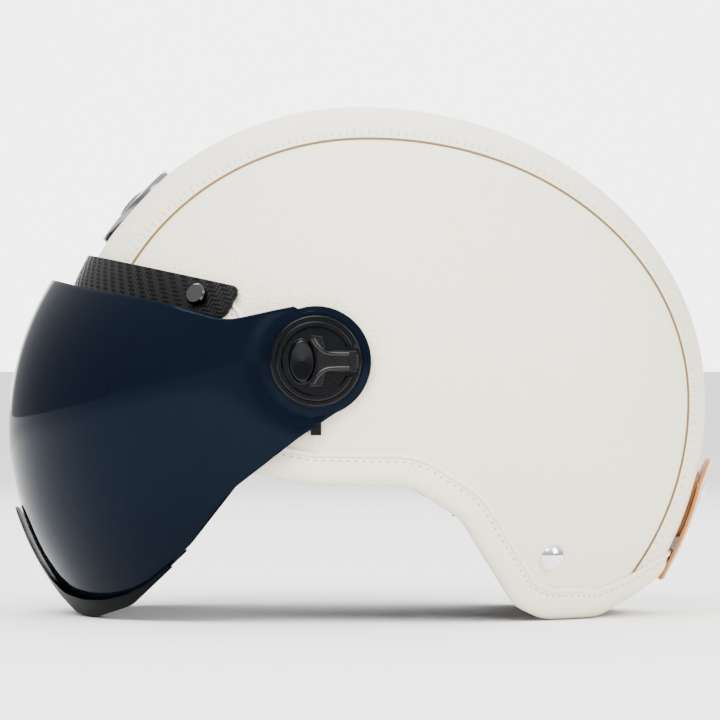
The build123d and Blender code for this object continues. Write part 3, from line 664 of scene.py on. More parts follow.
@dataclass
class Palette:
    """Every finish of the helmet, each built once."""

    ivory: bpy.types.Material = field(init=False)

    def __post_init__(self) -> None:
        """Makes the materials from the finishes."""
        ivory = {"light": (0.95, 0.88, 0.71, 1), "dark": (0.88, 0.8, 0.625, 1)}
        self.seamed = LeatherFinish("ivory_panel_leather", seam_holes=True, **ivory).material()
        self.ivory = LeatherFinish("ivory_trim_leather", relief=0.00035, **ivory).material()
        self.cord = LeatherFinish(
            "ivory_piping", (0.94, 0.88, 0.75, 1), (0.88, 0.815, 0.68, 1), relief=0.0001
        ).material()
        self.brown = LeatherFinish(
            "brown_piping", (0.22, 0.13, 0.035, 1), (0.12, 0.07, 0.02, 1), grain=1500.0, relief=0.00006
        ).material()
        # Dark saddle brown: the tab leather's own colour, darkened with painted shade of the tab's shaded
        # underside.
        self.saddle_and_shade = LeatherFinish(
            "saddle_leather_painted_shade", (0.5, 0.2, 0.035, 1), (0.3, 0.11, 0.02, 1), 0.42, relief=0.0001
        ).material()
        self.facing = LeatherFinish(
            "tan_facing", (0.84, 0.66, 0.4, 1), (0.72, 0.52, 0.27, 1), 0.5, relief=0.0001
        ).material()
        self.gloss = PlasticFinish("gloss_black", (0.0016, 0.002, 0.003, 1), 0.4, 0.0, 0.03).material()
        self.satin = PlasticFinish("satin_black", (0.0014, 0.0017, 0.0024, 1), 0.13, 0.0, 0.16).material()
        self.glossy = PlasticFinish("lever_black", (0.0012, 0.0014, 0.002, 1), 0.1, 0.0, 0.3).material()
        self.moulded = PlasticFinish("moulded_black", (0.004, 0.004, 0.005, 1), 0.5, 0.0, 0.3).material()
        self.red = PlasticFinish("red_lever", (0.45, 0.015, 0.015, 1), 0.32, 0.2).material()
        self.chrome = MetalFinish("polished_chrome", (0.86, 0.86, 0.88, 1), 0.07).material()
        self.aged = MetalFinish("aged_chrome", (0.2, 0.2, 0.21, 1), 0.16).material()
        self.nickel = MetalFinish("dark_nickel", (0.07, 0.065, 0.065, 1), 0.16).material()
        self.steel = MetalFinish("plated_steel", (0.6, 0.6, 0.6, 1), 0.3).material()
        self.carbon = CarbonFinish().material()
        self.lens = LensFinish().material()
        self.lining = ClothFinish(
            "lining_knit", (0.012, 0.012, 0.013, 1), (0.004, 0.004, 0.0045, 1)
        ).material()
        self.webbing = ClothFinish(
            "webbing_weave", (0.011, 0.011, 0.012, 1), (0.003, 0.003, 0.0035, 1), 0.0013, True
        ).material()
        self.foam = FoamFinish().material()
        # The stitch thread is coloured dark brownish grey, not ivory: its colour carries painted shade of the
        # needle holes, so the stitches read as dark dots.
        self.thread = LeatherFinish(
            "ivory_thread_painted_hole_shade", (0.5, 0.43, 0.31, 1), (0.36, 0.3, 0.21, 1), 0.7, 3000.0, 0.00005
        ).material()


def dress(piece: bpy.types.Object, material: bpy.types.Material) -> None:
    """Gives a piece one material."""
    piece.data.materials.clear()
    piece.data.materials.append(material)


def settle(
    piece: bpy.types.Object,
    material: bpy.types.Material,
    body: str,
    slot: str,
    nodes: Iterable[str] = (),
) -> bpy.types.Object:
    """slot: the material slot's name; not used.
        nodes: the CAD nodes it stands for.

    Returns:
        The same piece.
    """
    dress(piece, material)
    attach(piece, body)
    names = list(nodes)
    if names:
        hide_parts(*names)
    LOG.info("%s: %d faces on %s", piece.name, len(piece.data.polygons), body)
    return piece


# ------------------------------------------------------------------ the form
@dataclass(frozen=True)
class Form:
    """The helmet's outer form: four ellipsoid quarters that meet smoothly."""

    half_width: float = 0.114
    front: float = 0.1316
    rear: float = 0.1512
    up: float = 0.1285
    down: float = 0.148
    centre_y: float = 0.0011
    centre_z: float = 0.0932

    def axes(self, y: float, z: float, depth: float) -> Point2:
        """The half axes along Y and Z that hold at a place in the side view.

        Args:
            y: place along the helmet, in metres.
            z: height in the side view, in metres.
            depth: distance inside the leather's face, in metres; negative is proud.

        Returns:
            The half axis along Y and the one along Z, in metres.
        """
        reach = self.rear if y > self.centre_y else self.front
        height = self.up if z > self.centre_z else self.down
        return reach - depth, height - depth

    def rest(self, y: float, z: float, depth: float = 0.0) -> float:
        """What the side view leaves of the form's equation; negative is outside."""
        reach, height = self.axes(y, z, depth)
        return 1 - ((y - self.centre_y) / reach) ** 2 - ((z - self.centre_z) / height) ** 2

    def x(self, y: float, z: float, depth: float = 0.0) -> float:
        """Half width at a place in the side view."""
        return (self.half_width - depth) * math.sqrt(max(self.rest(y, z, depth), 0.0))

    def ray(self, turn: float, x: float, depth: float = 0.0) -> Vector:
        """The point at an angle in the side view, at a given half width.

        Args:
            turn: angle in the side view, in radians.
            x: half width of the point, in metres.
            depth: distance inside the leather's face, in metres; negative is proud.

        Returns:
            The point.
        """
        flat, rise = math.cos(turn), math.sin(turn)
        reach, height = self.axes(self.centre_y + flat, self.centre_z + rise, depth)
        share = max(1 - (x / (self.half_width - depth)) ** 2, 0.0)
        length = math.sqrt(share / ((flat / reach) ** 2 + (rise / height) ** 2))
        return Vector((x, self.centre_y + flat * length, self.centre_z + rise * length))

    def normal(self, point: Vector) -> Vector:
        """Outward direction at a point.

        Args:
            point: a point in the frame.

        Returns:
            A unit vector.
        """
        reach, height = self.axes(point.y, point.z, 0.0)
        lean = (
            point.x / self.half_width**2,
            (point.y - self.centre_y) / reach**2,
            (point.z - self.centre_z) / height**2,
        )
        return Vector(lean).normalized()

    def rear_y(self, z: float, depth: float = 0.0) -> float:
        """Where the back lies in the middle plane.

        Args:
            z: height in the side view, in metres.
            depth: distance inside the leather's face, in metres; negative is proud.

        Returns:
            Its place along Y, in metres.
        """
        height = (self.up if z > self.centre_z else self.down) - depth
        fall = ((z - self.centre_z) / height) ** 2
        return self.centre_y + (self.rear - depth) * math.sqrt(1 - fall)

    @property
    def centre(self) -> Vector:
        """The form's middle."""
        return Vector((0, self.centre_y, self.centre_z))


class SidePath:
    """A polyline in the side view with rounded corners, measured by its length."""

    def __init__(self, corners: Sequence[Point2], radii: Sequence[float], step: float = 0.001) -> None:
        """Walks the path from corner to corner.

        Args:
            corners: the bends of the path in the side view.
            radii: the rounding of each bend, in metres.
            step: the spacing of the path's points, in metres.
        """
        self.points: list[Vector] = []
        ends = [Vector(c) for c in corners]
        self._walk(ends[0])
        for before, corner, after, radius in zip(ends, ends[1:], ends[2:], radii):
            self._round(before, corner, after, radius, step)
        self._line(ends[-1], step)
        self.lengths = [0.0]
        for first, second in zip(self.points, self.points[1:]):
            self.lengths.append(self.lengths[-1] + (second - first).length)

    def _walk(self, point: Vector) -> None:
        """Adds a point."""
        self.points.append(point)

    def _line(self, end: Vector, step: float) -> None:
        """Adds a straight run to a point.

        Args:
            end: where the run ends.
            step: the spacing of the path's points, in metres.
        """
        start = self.points[-1]
        count = max(int((end - start).length / step), 1)
        for index in range(1, count + 1):
            self._walk(start.lerp(end, index / count))

    def _round(self, before: Vector, corner: Vector, after: Vector, radius: float, step: float) -> None:
        """Adds a run and the arc that rounds its corner.

        Args:
            before: the place the path comes from.
            corner: the bend.
            after: the place the path goes to.
            radius: the bend's rounding, in metres.
            step: the spacing of the path's points, in metres.
        """
        inward, outward = (before - corner).normalized(), (after - corner).normalized()
        half = inward.angle(outward) / 2
        if radius <= 0 or half > math.pi / 2 - 1e-4:
            self._line(corner, step)
            return
        tangent = radius / math.tan(half)
        self._line(corner + inward * tangent, step)
        centre = corner + (inward + outward).normalized() * radius / math.sin(half)
        start = self.points[-1] - centre
        end = corner + outward * tangent - centre
        sweep = start.angle_signed(end)
        count = max(int(abs(sweep) * radius / step), 2)
        for index in range(1, count + 1):
            turned = start.copy()
            turned.rotate(Matrix.Rotation(-sweep * index / count, 2))
            self._walk(centre + turned)

    def at(self, length: float) -> tuple[Vector, Vector]:
        """The place at a length along the path, and the direction to its left.

        Args:
            length: distance along the path, in metres.

        Returns:
            The place, and a unit vector to its left.
        """
        index = min(max(bisect_left(self.lengths, length), 1), len(self.points) - 1)
        first, second = self.points[index - 1], self.points[index]
        span = self.lengths[index] - self.lengths[index - 1]
        share = (length - self.lengths[index - 1]) / span
        along = (self._tangent(index - 1).lerp(self._tangent(index), share)).normalized()
        return first.lerp(second, share), Vector((-along.y, along.x))

    def _tangent(self, index: int) -> Vector:
        """Direction of the path near a point."""
        low, high = max(index - 1, 0), min(index + 1, len(self.points) - 1)
        return (self.points[high] - self.points[low]).normalized()

    def height(self, y: float, z: float) -> float:
        """Signed distance to the left of the path.

        Args:
            y: place along the helmet, in metres.
            z: height in the side view, in metres.

        Returns:
            The distance, in metres; negative is to the right.
        """
        best, found = 1e9, 0.0
        for index in range(0, len(self.points) - 1, 2):
            first = self.points[index]
            gap = (first.x - y) ** 2 + (first.y - z) ** 2
            if gap < best:
                best = gap
                along = self._tangent(index)
                found = along.x * (z - first.y) - along.y * (y - first.x)
        return math.copysign(math.sqrt(best), found)


@dataclass
class Rim:
    """The helmet's edge: where it runs, its rolled trim, piping and stitches."""

    form: Form
    corners: tuple = (
        (-0.26, 0.172), (-0.060, 0.128), (-0.055, 0.0655), (-0.020, 0.0583), (0.022, 0.0578),
        (0.043, 0.044), (0.057, 0.021), (0.066, 0.0065), (0.079, 0.0), (0.103, 0.0),
        (0.131, 0.0145), (0.26, 0.07126),
    )
    radii: tuple = (0.014, 0.014, 0.018, 0.022, 0.016, 0.024, 0.016, 0.014, 0.014, 0.024)
    height: float = 0.0125
    steps: int = 260
    section: tuple = (
        (12.7, 0.7), (12.5, -0.4), (11.7, -1.15), (10.6, -1.2), (9.4, -1.65), (7.4, -2.15),
        (5.2, -2.35), (3.2, -2.1), (1.7, -1.4), (0.7, -0.2), (0.15, 1.4), (0.15, 3.2),
        (0.6, 5.0), (1.7, 6.4), (3.4, 7.1), (5.6, 7.2), (7.2, 6.9), (7.9, 6.0), (8.6, 4.4), (11.2, 2.4),
    )
    stitch_row: float = 0.0106
    stitch_depth: float = -0.0012
    stitch_pitch: float = 0.0034
    stitch_length: float = 0.0013
    thread: float = 0.00036
    lip_rear: float = -0.061
    lip_low: float = 0.12
    slim_from: float = 0.092
    slim_to: float = 0.122
    slim: float = 0.3
    piping_height: float = 0.0131
    piping_depth: float = -0.0006
    piping_radius: float = 0.00105

    def __post_init__(self) -> None:
        """Lays out the rim's path."""
        self.path = SidePath(self.corners, self.radii)
        self.saved: dict[tuple[float, float], list[Vector]] = {}

    def _spot(self, length: float, above: float) -> Vector:
        """Side-view place at a length along the rim and a height above it."""
        point, left = self.path.at(length)
        return point + left * above * self.slimming(point.x)

    def slimming(self, y: float) -> float:
        """How much of its full height the trim keeps at a place along the helmet."""
        share = min(max((y - self.slim_from) / (self.slim_to - self.slim_from), 0.0), 1.0)
        return 1 - self.slim * share * share * (3 - 2 * share)

    def _end(self, above: float, depth: float, inside: float, outside: float) -> float:
        """Length at which the raised rim line meets the middle plane.

        Args:
            above: distance from the edge in the side view, in metres.
            depth: distance inside the leather's face, in metres; negative is proud.
            inside: a length that is on the shell, in metres.
            outside: a length past the middle plane, in metres.

        Returns:
            The length, in metres.
        """
        for _ in range(40):
            middle = (inside + outside) / 2
            spot = self._spot(middle, above)
            if self.form.rest(spot.x, spot.y, depth) > 0:
                inside = middle
            else:
                outside = middle
        return inside

    def curve(self, above: float, depth: float) -> list[Vector]:
        """The left half of the rim line at a height above the edge and a depth.

        Args:
            above: distance from the edge in the side view, in metres.
            depth: how far the line lies inside the leather's face; negative is proud.

        Returns:
            Evenly spaced points from the brim's middle to the nape's middle.
        """
        key = (round(above, 6), round(depth, 6))
        if key in self.saved:
            return self.saved[key]
        middle = self.path.lengths[-1] / 2
        start = self._end(above, depth, middle, 0.0)
        end = self._end(above, depth, middle, self.path.lengths[-1])
        dense = []
        samples = 1400
        for index in range(samples + 1):
            share = 0.5 - 0.5 * math.cos(math.pi * index / samples)
            spot = self._spot(start + (end - start) * share, above)
            dense.append(Vector((self.form.x(spot.x, spot.y, depth), spot.x, spot.y)))
        dense[0].x = dense[-1].x = 0.0
        self.saved[key] = resample(dense, self.steps)
        return self.saved[key]

    def loop(self, above: float, depth: float) -> list[Vector]:
        """The whole rim line, closed.

        Args:
            above: distance from the edge in the side view, in metres.
            depth: distance inside the leather's face, in metres; negative is proud.

        Returns:
            The points, once round.
        """
        left = self.curve(above, depth)
        right = [Vector((-p.x, p.y, p.z)) for p in left[-2:0:-1]]
        return left + right

    def build(self, palette: Palette) -> None:
        """Builds the rolled trim, its piping and its stitches.

        Args:
            palette: the finishes to dress the pieces with.
        """
        self._roll(palette)
        cord = tube("rim_piping", self.loop(self.piping_height, self.piping_depth), self.piping_radius, True)
        shade(cord, 60)
        settle(cord, palette.cord, "helmet", "ivory_leather")
        self._stitches(palette)

    def _roll(self, palette: Palette) -> None:
        """The padded roll round the shell's edge.

        Args:
            palette: the finishes to dress the pieces with.
        """
        loops = [self.loop(d * MM, h * MM) for d, h in self.section]
        count, rows = len(loops[0]), len(loops)
        ring = [0.0]
        for (d0, h0), (d1, h1) in zip(self.section, self.section[1:] + self.section[:1]):
            ring.append(ring[-1] + math.hypot(d1 - d0, h1 - h0) * MM)
        length = sum((b - a).length for a, b in zip(loops[0], loops[0][1:]))

        def place(u: float, v: float) -> Vector:
            """Where a point of the unit square goes."""
            return loops[round(v * rows) % rows][round(u * count) % count]

        def own(u: float, v: float) -> Point2:
            """A point's place on the piece's own map."""
            return (u * length, ring[round(v * rows)])

        roll = grid("edge_roll", count, rows, place, own)
        merge(roll)
        recalculate(roll)
        add_modifier(roll, "SUBSURF", levels=1, render_levels=1)
        shade(roll, 80)
        settle(roll, palette.ivory, "helmet", "ivory_leather", ["edge_trim"])
        roll.data.materials.append(palette.moulded)
        for face in roll.data.polygons:
            if face.center.y < self.lip_rear and face.center.z > self.lip_low:
                face.material_index = 1

    def _stitches(self, palette: Palette) -> None:
        """A row of short thread stitches below the piping, their thread darkened with painted needle-hole
        shade.

        Args:
            palette: the finishes to dress the pieces with.
        """
        line = self.loop(self.stitch_row, self.stitch_depth)
        total = sum((b - a).length for a, b in zip(line, line[1:] + line[:1]))
        spots = resample(line + line[:1], max(int(total / self.stitch_pitch), 1) * 2)
        bpy.ops.mesh.primitive_uv_sphere_add(segments=8, ring_count=6, radius=1.0)
        pattern = bpy.context.active_object
        size = Matrix.Diagonal((self.thread, self.thread, self.stitch_length / 2, 1))
        pattern.data.transform(size)
        stitches = []
        for index in range(0, len(spots) - 2, 2):
            point, ahead = spots[index], spots[index + 1]
            turn = (ahead - point).to_track_quat("Z", "Y").to_matrix().to_4x4()
            copy = pattern.copy()
            copy.data = pattern.data.copy()
            copy.data.transform(Matrix.Translation(point) @ turn)
            bpy.context.scene.collection.objects.link(copy)
            stitches.append(copy)
        bpy.data.objects.remove(pattern)
        row = join("rim_stitches", stitches)
        shade(row, 80)
        settle(row, palette.thread, "helmet", "ivory_leather")


def resample(points: Sequence[Vector], steps: int) -> list[Vector]:
    """Points spaced evenly along a polyline, its ends included.

    Args:
        points: the polyline to walk.
        steps: how many spaces to make.

    Returns:
        The new points.
    """
    lengths = [0.0]
    for first, second in zip(points, points[1:]):
        lengths.append(lengths[-1] + (second - first).length)
    even = []
    for index in range(steps + 1):
        target = lengths[-1] * index / steps
        high = min(max(bisect_left(lengths, target), 1), len(points) - 1)
        span = lengths[high] - lengths[high - 1]
        share = (target - lengths[high - 1]) / span if span else 0.0
        even.append(points[high - 1].lerp(points[high], share))
    return even


@dataclass
class Skin:
    """The leather panels and the piping between them."""

    form: Form
    rim: Rim
    half_widths: tuple = ((-0.16, 0.056), (0.0, 0.055), (0.087, 0.048), (0.16, 0.037))
    thickness: float = 0.0012
    seam_fall: float = 0.0009
    seam_spread: float = 0.0017
    tuck: float = 0.0005
    side_middle: Point2 = (0.045, 0.095)
    map_radius: float = 0.125

    def half(self, y: float) -> float:
        """Half the centre panel's width at a place along the helmet.

        Args:
            y: place along the helmet, in metres.

        Returns:
            The half width, in metres.
        """
        stops = self.half_widths
        if y <= stops[0][0]:
            return stops[0][1]
        for index in range(len(stops) - 1):
            (y0, w0), (y1, w1) = stops[index], stops[index + 1]
            if y <= y1:
                s0 = self._slope(index)
                s1 = self._slope(index + 1)
                t, span = (y - y0) / (y1 - y0), y1 - y0
                return (
                    (2 * t**3 - 3 * t**2 + 1) * w0 + (t**3 - 2 * t**2 + t) * span * s0
                    + (3 * t**2 - 2 * t**3) * w1 + (t**3 - t**2) * span * s1
                )
        return stops[-1][1]

    def _slope(self, index: int) -> float:
        """Slope of the seam's plan curve at one of its stops.

        Args:
            index: which stop of the seam.

        Returns:
            The slope, with no unit.
        """
        low, high = max(index - 1, 0), min(index + 1, len(self.half_widths) - 1)
        (y0, w0), (y1, w1) = self.half_widths[low], self.half_widths[high]
        return (w1 - w0) / (y1 - y0)

    def seam_point(self, turn: float, share: float, depth: float) -> Vector:
        """A point of the centre panel at an angle and a share of its half width.

        Args:
            turn: angle in the side view, in radians.
            share: share of the half width, 0 in the middle.
            depth: distance inside the leather's face, in metres; negative is proud.

        Returns:
            The point.
        """
        x = share * self.half(0.0)
        for _ in range(6):
            point = self.form.ray(turn, x, depth)
            x = share * self.half(point.y)
        return self.form.ray(turn, x, depth)

    def fold(self, off: float) -> float:
        """How deep the leather dips at a distance from the seam."""
        return self.seam_fall * math.exp(-((off / self.seam_spread) ** 2))

    def seam_map(self, point: Vector) -> Point2:
        """Length along the seam and distance from it, for the needle holes.

        Args:
            point: a point in the frame.

        Returns:
            The two distances, in metres.
        """
        turn = math.atan2(point.z - self.form.centre_z, point.y - self.form.centre_y)
        if turn < -math.pi / 2:
            turn += 2 * math.pi
        lean = math.sqrt(1 + (self.half(point.y) / self.form.half_width) ** 2)
        return (turn * self.map_radius, (abs(point.x) - self.half(point.y)) * lean)

    def _turn_limit(self, share: float, front: bool) -> float:
        """Angle at which the centre panel tucks under the brim strip or the nape trim.

        Args:
            share: share of the half width, 0 in the middle.
            front: whether it is the front end or the nape.

        Returns:
            The angle, in radians.
        """
        margin = 0.008 if front else self.rim.height - self.tuck
        inside, outside = math.radians(90), math.radians(168 if front else -50)
        for _ in range(26):
            middle = (inside + outside) / 2
            point = self.seam_point(middle, share, 0.0)
            if self.rim.path.height(point.y, point.z) > margin * self.rim.slimming(point.y):
                inside = middle
            else:
                outside = middle
        return inside

    def centre_panel(self) -> bpy.types.Object:
        """The panel over the top.

        Returns:
            The panel.
        """
        columns, rows = 190, 44
        shares = [math.sin(math.pi / 2 * (2 * i / rows - 1)) for i in range(rows + 1)]
        limits = [(self._turn_limit(s, True), self._turn_limit(s, False)) for s in shares]

        def spot(u: float, v: float) -> Vector:
            """Where a point of the unit square goes.

            Args:
                u: share along the first direction.
                v: share along the second direction.

            Returns:
                The point.
            """
            index = round(v * rows)
            start, end = limits[index]
            turn = start + (end - start) * u
            share = shares[index]
            edge = (1 - abs(share)) * self.half(0.0)
            return self.seam_point(turn, share, self.fold(edge))

        panel = grid("centre_leather", columns, rows, spot, lambda u, v: self.seam_map(spot(u, v)))
        return self._finish(panel)

    def side_panel(self) -> bpy.types.Object:
        """The left side panel, laid out in rings round its middle.

        Returns:
            The panel.
        """
        columns, rings = 260, 54
        reaches = [self._reach(2 * math.pi * index / columns) for index in range(columns)]
        middle_y, middle_z = self.side_middle

        def spot(u: float, v: float) -> Vector:
            """Where a point of the unit square goes.

            Args:
                u: share along the first direction.
                v: share along the second direction.

            Returns:
                The point.
            """
            index = round(u * columns) % columns
            turn = 2 * math.pi * index / columns
            reach = reaches[index] * (1 - (1 - v) ** 1.7)
            y = middle_y + math.cos(turn) * reach
            z = middle_z + math.sin(turn) * reach
            off = self.form.x(y, z) - self.half(y)
            depth = self.fold(max(off, 0.0)) if z > self.form.centre_z or y > 0.11 else 0.0
            return Vector((self.form.x(y, z, depth), y, z))

        panel = grid("side_leather_left", columns, rings, spot, lambda u, v: self.seam_map(spot(u, v)))
        merge(panel)
        return self._finish(panel)

    def _reach(self, turn: float) -> float:
        """How far the side panel reaches from its middle at an angle in the side view.

        Args:
            turn: angle in the side view, in radians.

        Returns:
            The reach, in metres.
        """
        inside, outside = 0.01, 0.2
        middle_y, middle_z = self.side_middle
        for _ in range(24):
            reach = (inside + outside) / 2
            y = middle_y + math.cos(turn) * reach
            z = middle_z + math.sin(turn) * reach
            margin = 0.006 if y < -0.05 else self.rim.height - self.tuck
            on_skin = self.form.rest(y, z) > 0 and self.form.x(y, z) > self.half(y)
            if on_skin and self.rim.path.height(y, z) > margin * self.rim.slimming(y):
                inside = reach
            else:
                outside = reach
        return inside

    def _finish(self, panel: bpy.types.Object) -> bpy.types.Object:
        """Turns a panel outwards and gives it its thickness.

        Args:
            panel: the open panel.

        Returns:
            The same panel.
        """
        face_away(panel, self.form.centre)
        add_modifier(panel, "SOLIDIFY", thickness=self.thickness, offset=-1.0)
        shade(panel, 50)
        return panel

    def piping(self) -> bpy.types.Object:
        """The left seam piping.

        Returns:
            The cord.
        """
        start, end = self._turn_limit(1.0, True), self._turn_limit(1.0, False)
        steps = 300
        line = [
            self.seam_point(start + (end - start) * index / steps, 1.0, 0.0003)
            for index in range(steps + 1)
        ]
        cord = tube("seam_cord_left", resample(line, 260), 0.00062, False, 8)
        shade(cord, 70)
        return cord

    def build(self, palette: Palette) -> None:
        """Builds the three panels and the two cords.

        Args:
            palette: the finishes to dress the pieces with.
        """
        settle(self.centre_panel(), palette.seamed, "helmet", "ivory_leather", ["centre_panel"])
        left = self.side_panel()
        right = mirror_copy(left, "side_leather_right")
        settle(left, palette.seamed, "helmet", "ivory_leather", ["side_panel_left"])
        settle(right, palette.seamed, "helmet", "ivory_leather", ["side_panel_right"])
        cord = self.piping()
        other = mirror_copy(cord, "seam_cord_right")
        settle(cord, palette.brown, "helmet", "brown_piping", ["seam_piping_left"])
        settle(other, palette.brown, "helmet", "brown_piping", ["seam_piping_right"])


@dataclass
class Brim:
    """The woven strip along the brim and its rivets."""

    form: Form
    rim: Rim
    foot: float = 0.0003
    width: float = 0.015
    rear_y: float = -0.0485
    slant: float = 0.007
    corner: float = 0.0032
    inner_depth: float = -0.0017
    wall: float = 0.0023

    def build(self, palette: Palette) -> None:
        """Builds the strip and dresses the rivets.

        Args:
            palette: the finishes to dress the pieces with.
        """
        settle(self._strip(), palette.carbon, "helmet", "woven_carbon", ["brim_strip"])
        rivets = cad_copy("brim_rivets", "brim_rivet_heads")
        settle(rivets, palette.nickel, "helmet", "polished_chrome", ["brim_rivets"])

    def _strip(self) -> bpy.types.Object:
        """The strip, rounded at its ends.

        Returns:
            The strip.
        """
        columns, rows = 240, 12
        levels = [self.foot + self.width * index / rows for index in range(rows + 1)]
        runs = [self._run(level) for level in levels]

        def spot(u: float, v: float) -> Vector:
            """Where a point of the unit square goes.

            Args:
                u: share along the first direction.
                v: share along the second direction.

            Returns:
                The point.
            """
            side = -1 if u < 0.5 else 1
            share = abs(2 * u - 1)
            return self._point(runs, share, v, side)

        def own(u: float, v: float) -> Point2:
            """A point's place on the piece's own map."""
            return ((2 * u - 1) * runs[0][1], v * self.width)

        strip = grid("carbon_strip", columns, rows, spot, own)
        face_away(strip, self.form.centre)
        add_modifier(strip, "SOLIDIFY", thickness=self.wall, offset=1.0)
        add_modifier(strip, "BEVEL", width=0.0006, segments=3, limit_method="ANGLE",
                     angle_limit=math.radians(50))
        shade(strip, 40)
        return strip

    def _run(self, level: float) -> tuple[list[Vector], float]:
        """One line of the strip from the middle to its rear end, and its length.

        Args:
            level: height above the strip's line, in metres.

        Returns:
            The line's points, and its length in metres.
        """
        rear = self.rear_y - self.slant * (1 - (level - self.foot) / self.width)
        inside, outside = rear, -0.2
        for _ in range(40):
            middle = (inside + outside) / 2
            if self.form.rest(middle, self._z(middle, level), self.inner_depth) > 0:
                inside = middle
            else:
                outside = middle
        line = []
        for index in range(601):
            y = inside + (rear - inside) * (1 - math.cos(math.pi / 2 * index / 600))
            z = self._z(y, level)
            line.append(Vector((self.form.x(y, z, self.inner_depth), y, z)))
        line[0].x = 0.0
        dense = resample(line, 200)
        return dense, sum((b - a).length for a, b in zip(dense, dense[1:]))

    def _z(self, y: float, level: float) -> float:
        """Height of a line of the strip in the side view.

        Args:
            y: place along the helmet, in metres.
            level: height above the strip's line, in metres.

        Returns:
            The height, in metres.
        """
        corner_y, corner_z = self.rim.corners[1]
        front_y, front_z = self.rim.corners[0]
        return corner_z + (front_z - corner_z) / (front_y - corner_y) * (y - corner_y) + level

    def _point(self, runs: list, share: float, v: float, side: int) -> Vector:
        """A point of the strip, drawn in near its rounded rear corners.

        Args:
            runs: the strip's lines and their lengths.
            share: share of the strip's length from its middle.
            v: share of the strip's width from its lower edge.
            side: 1 for the left and -1 for the right.

        Returns:
            The point.
        """
        length = runs[0][1]
        gap = min((1 - share) * length, self.corner)
        inset = self.corner - math.sqrt(max(self.corner**2 - (self.corner - gap) ** 2, 0.0))
        level = (inset + (self.width - 2 * inset) * v) / self.width * (len(runs) - 1)
        low = min(int(level), len(runs) - 2)
        index = share * (len(runs[0][0]) - 1)
        first = self._along(runs[low][0], index)
        second = self._along(runs[low + 1][0], index)
        point = first.lerp(second, level - low)
        return Vector((point.x * side, point.y, point.z))

    def _along(self, line: list[Vector], index: float) -> Vector:
        """Interpolates along a line."""
        low = min(int(index), len(line) - 2)
        return line[low].lerp(line[low + 1], index - low)


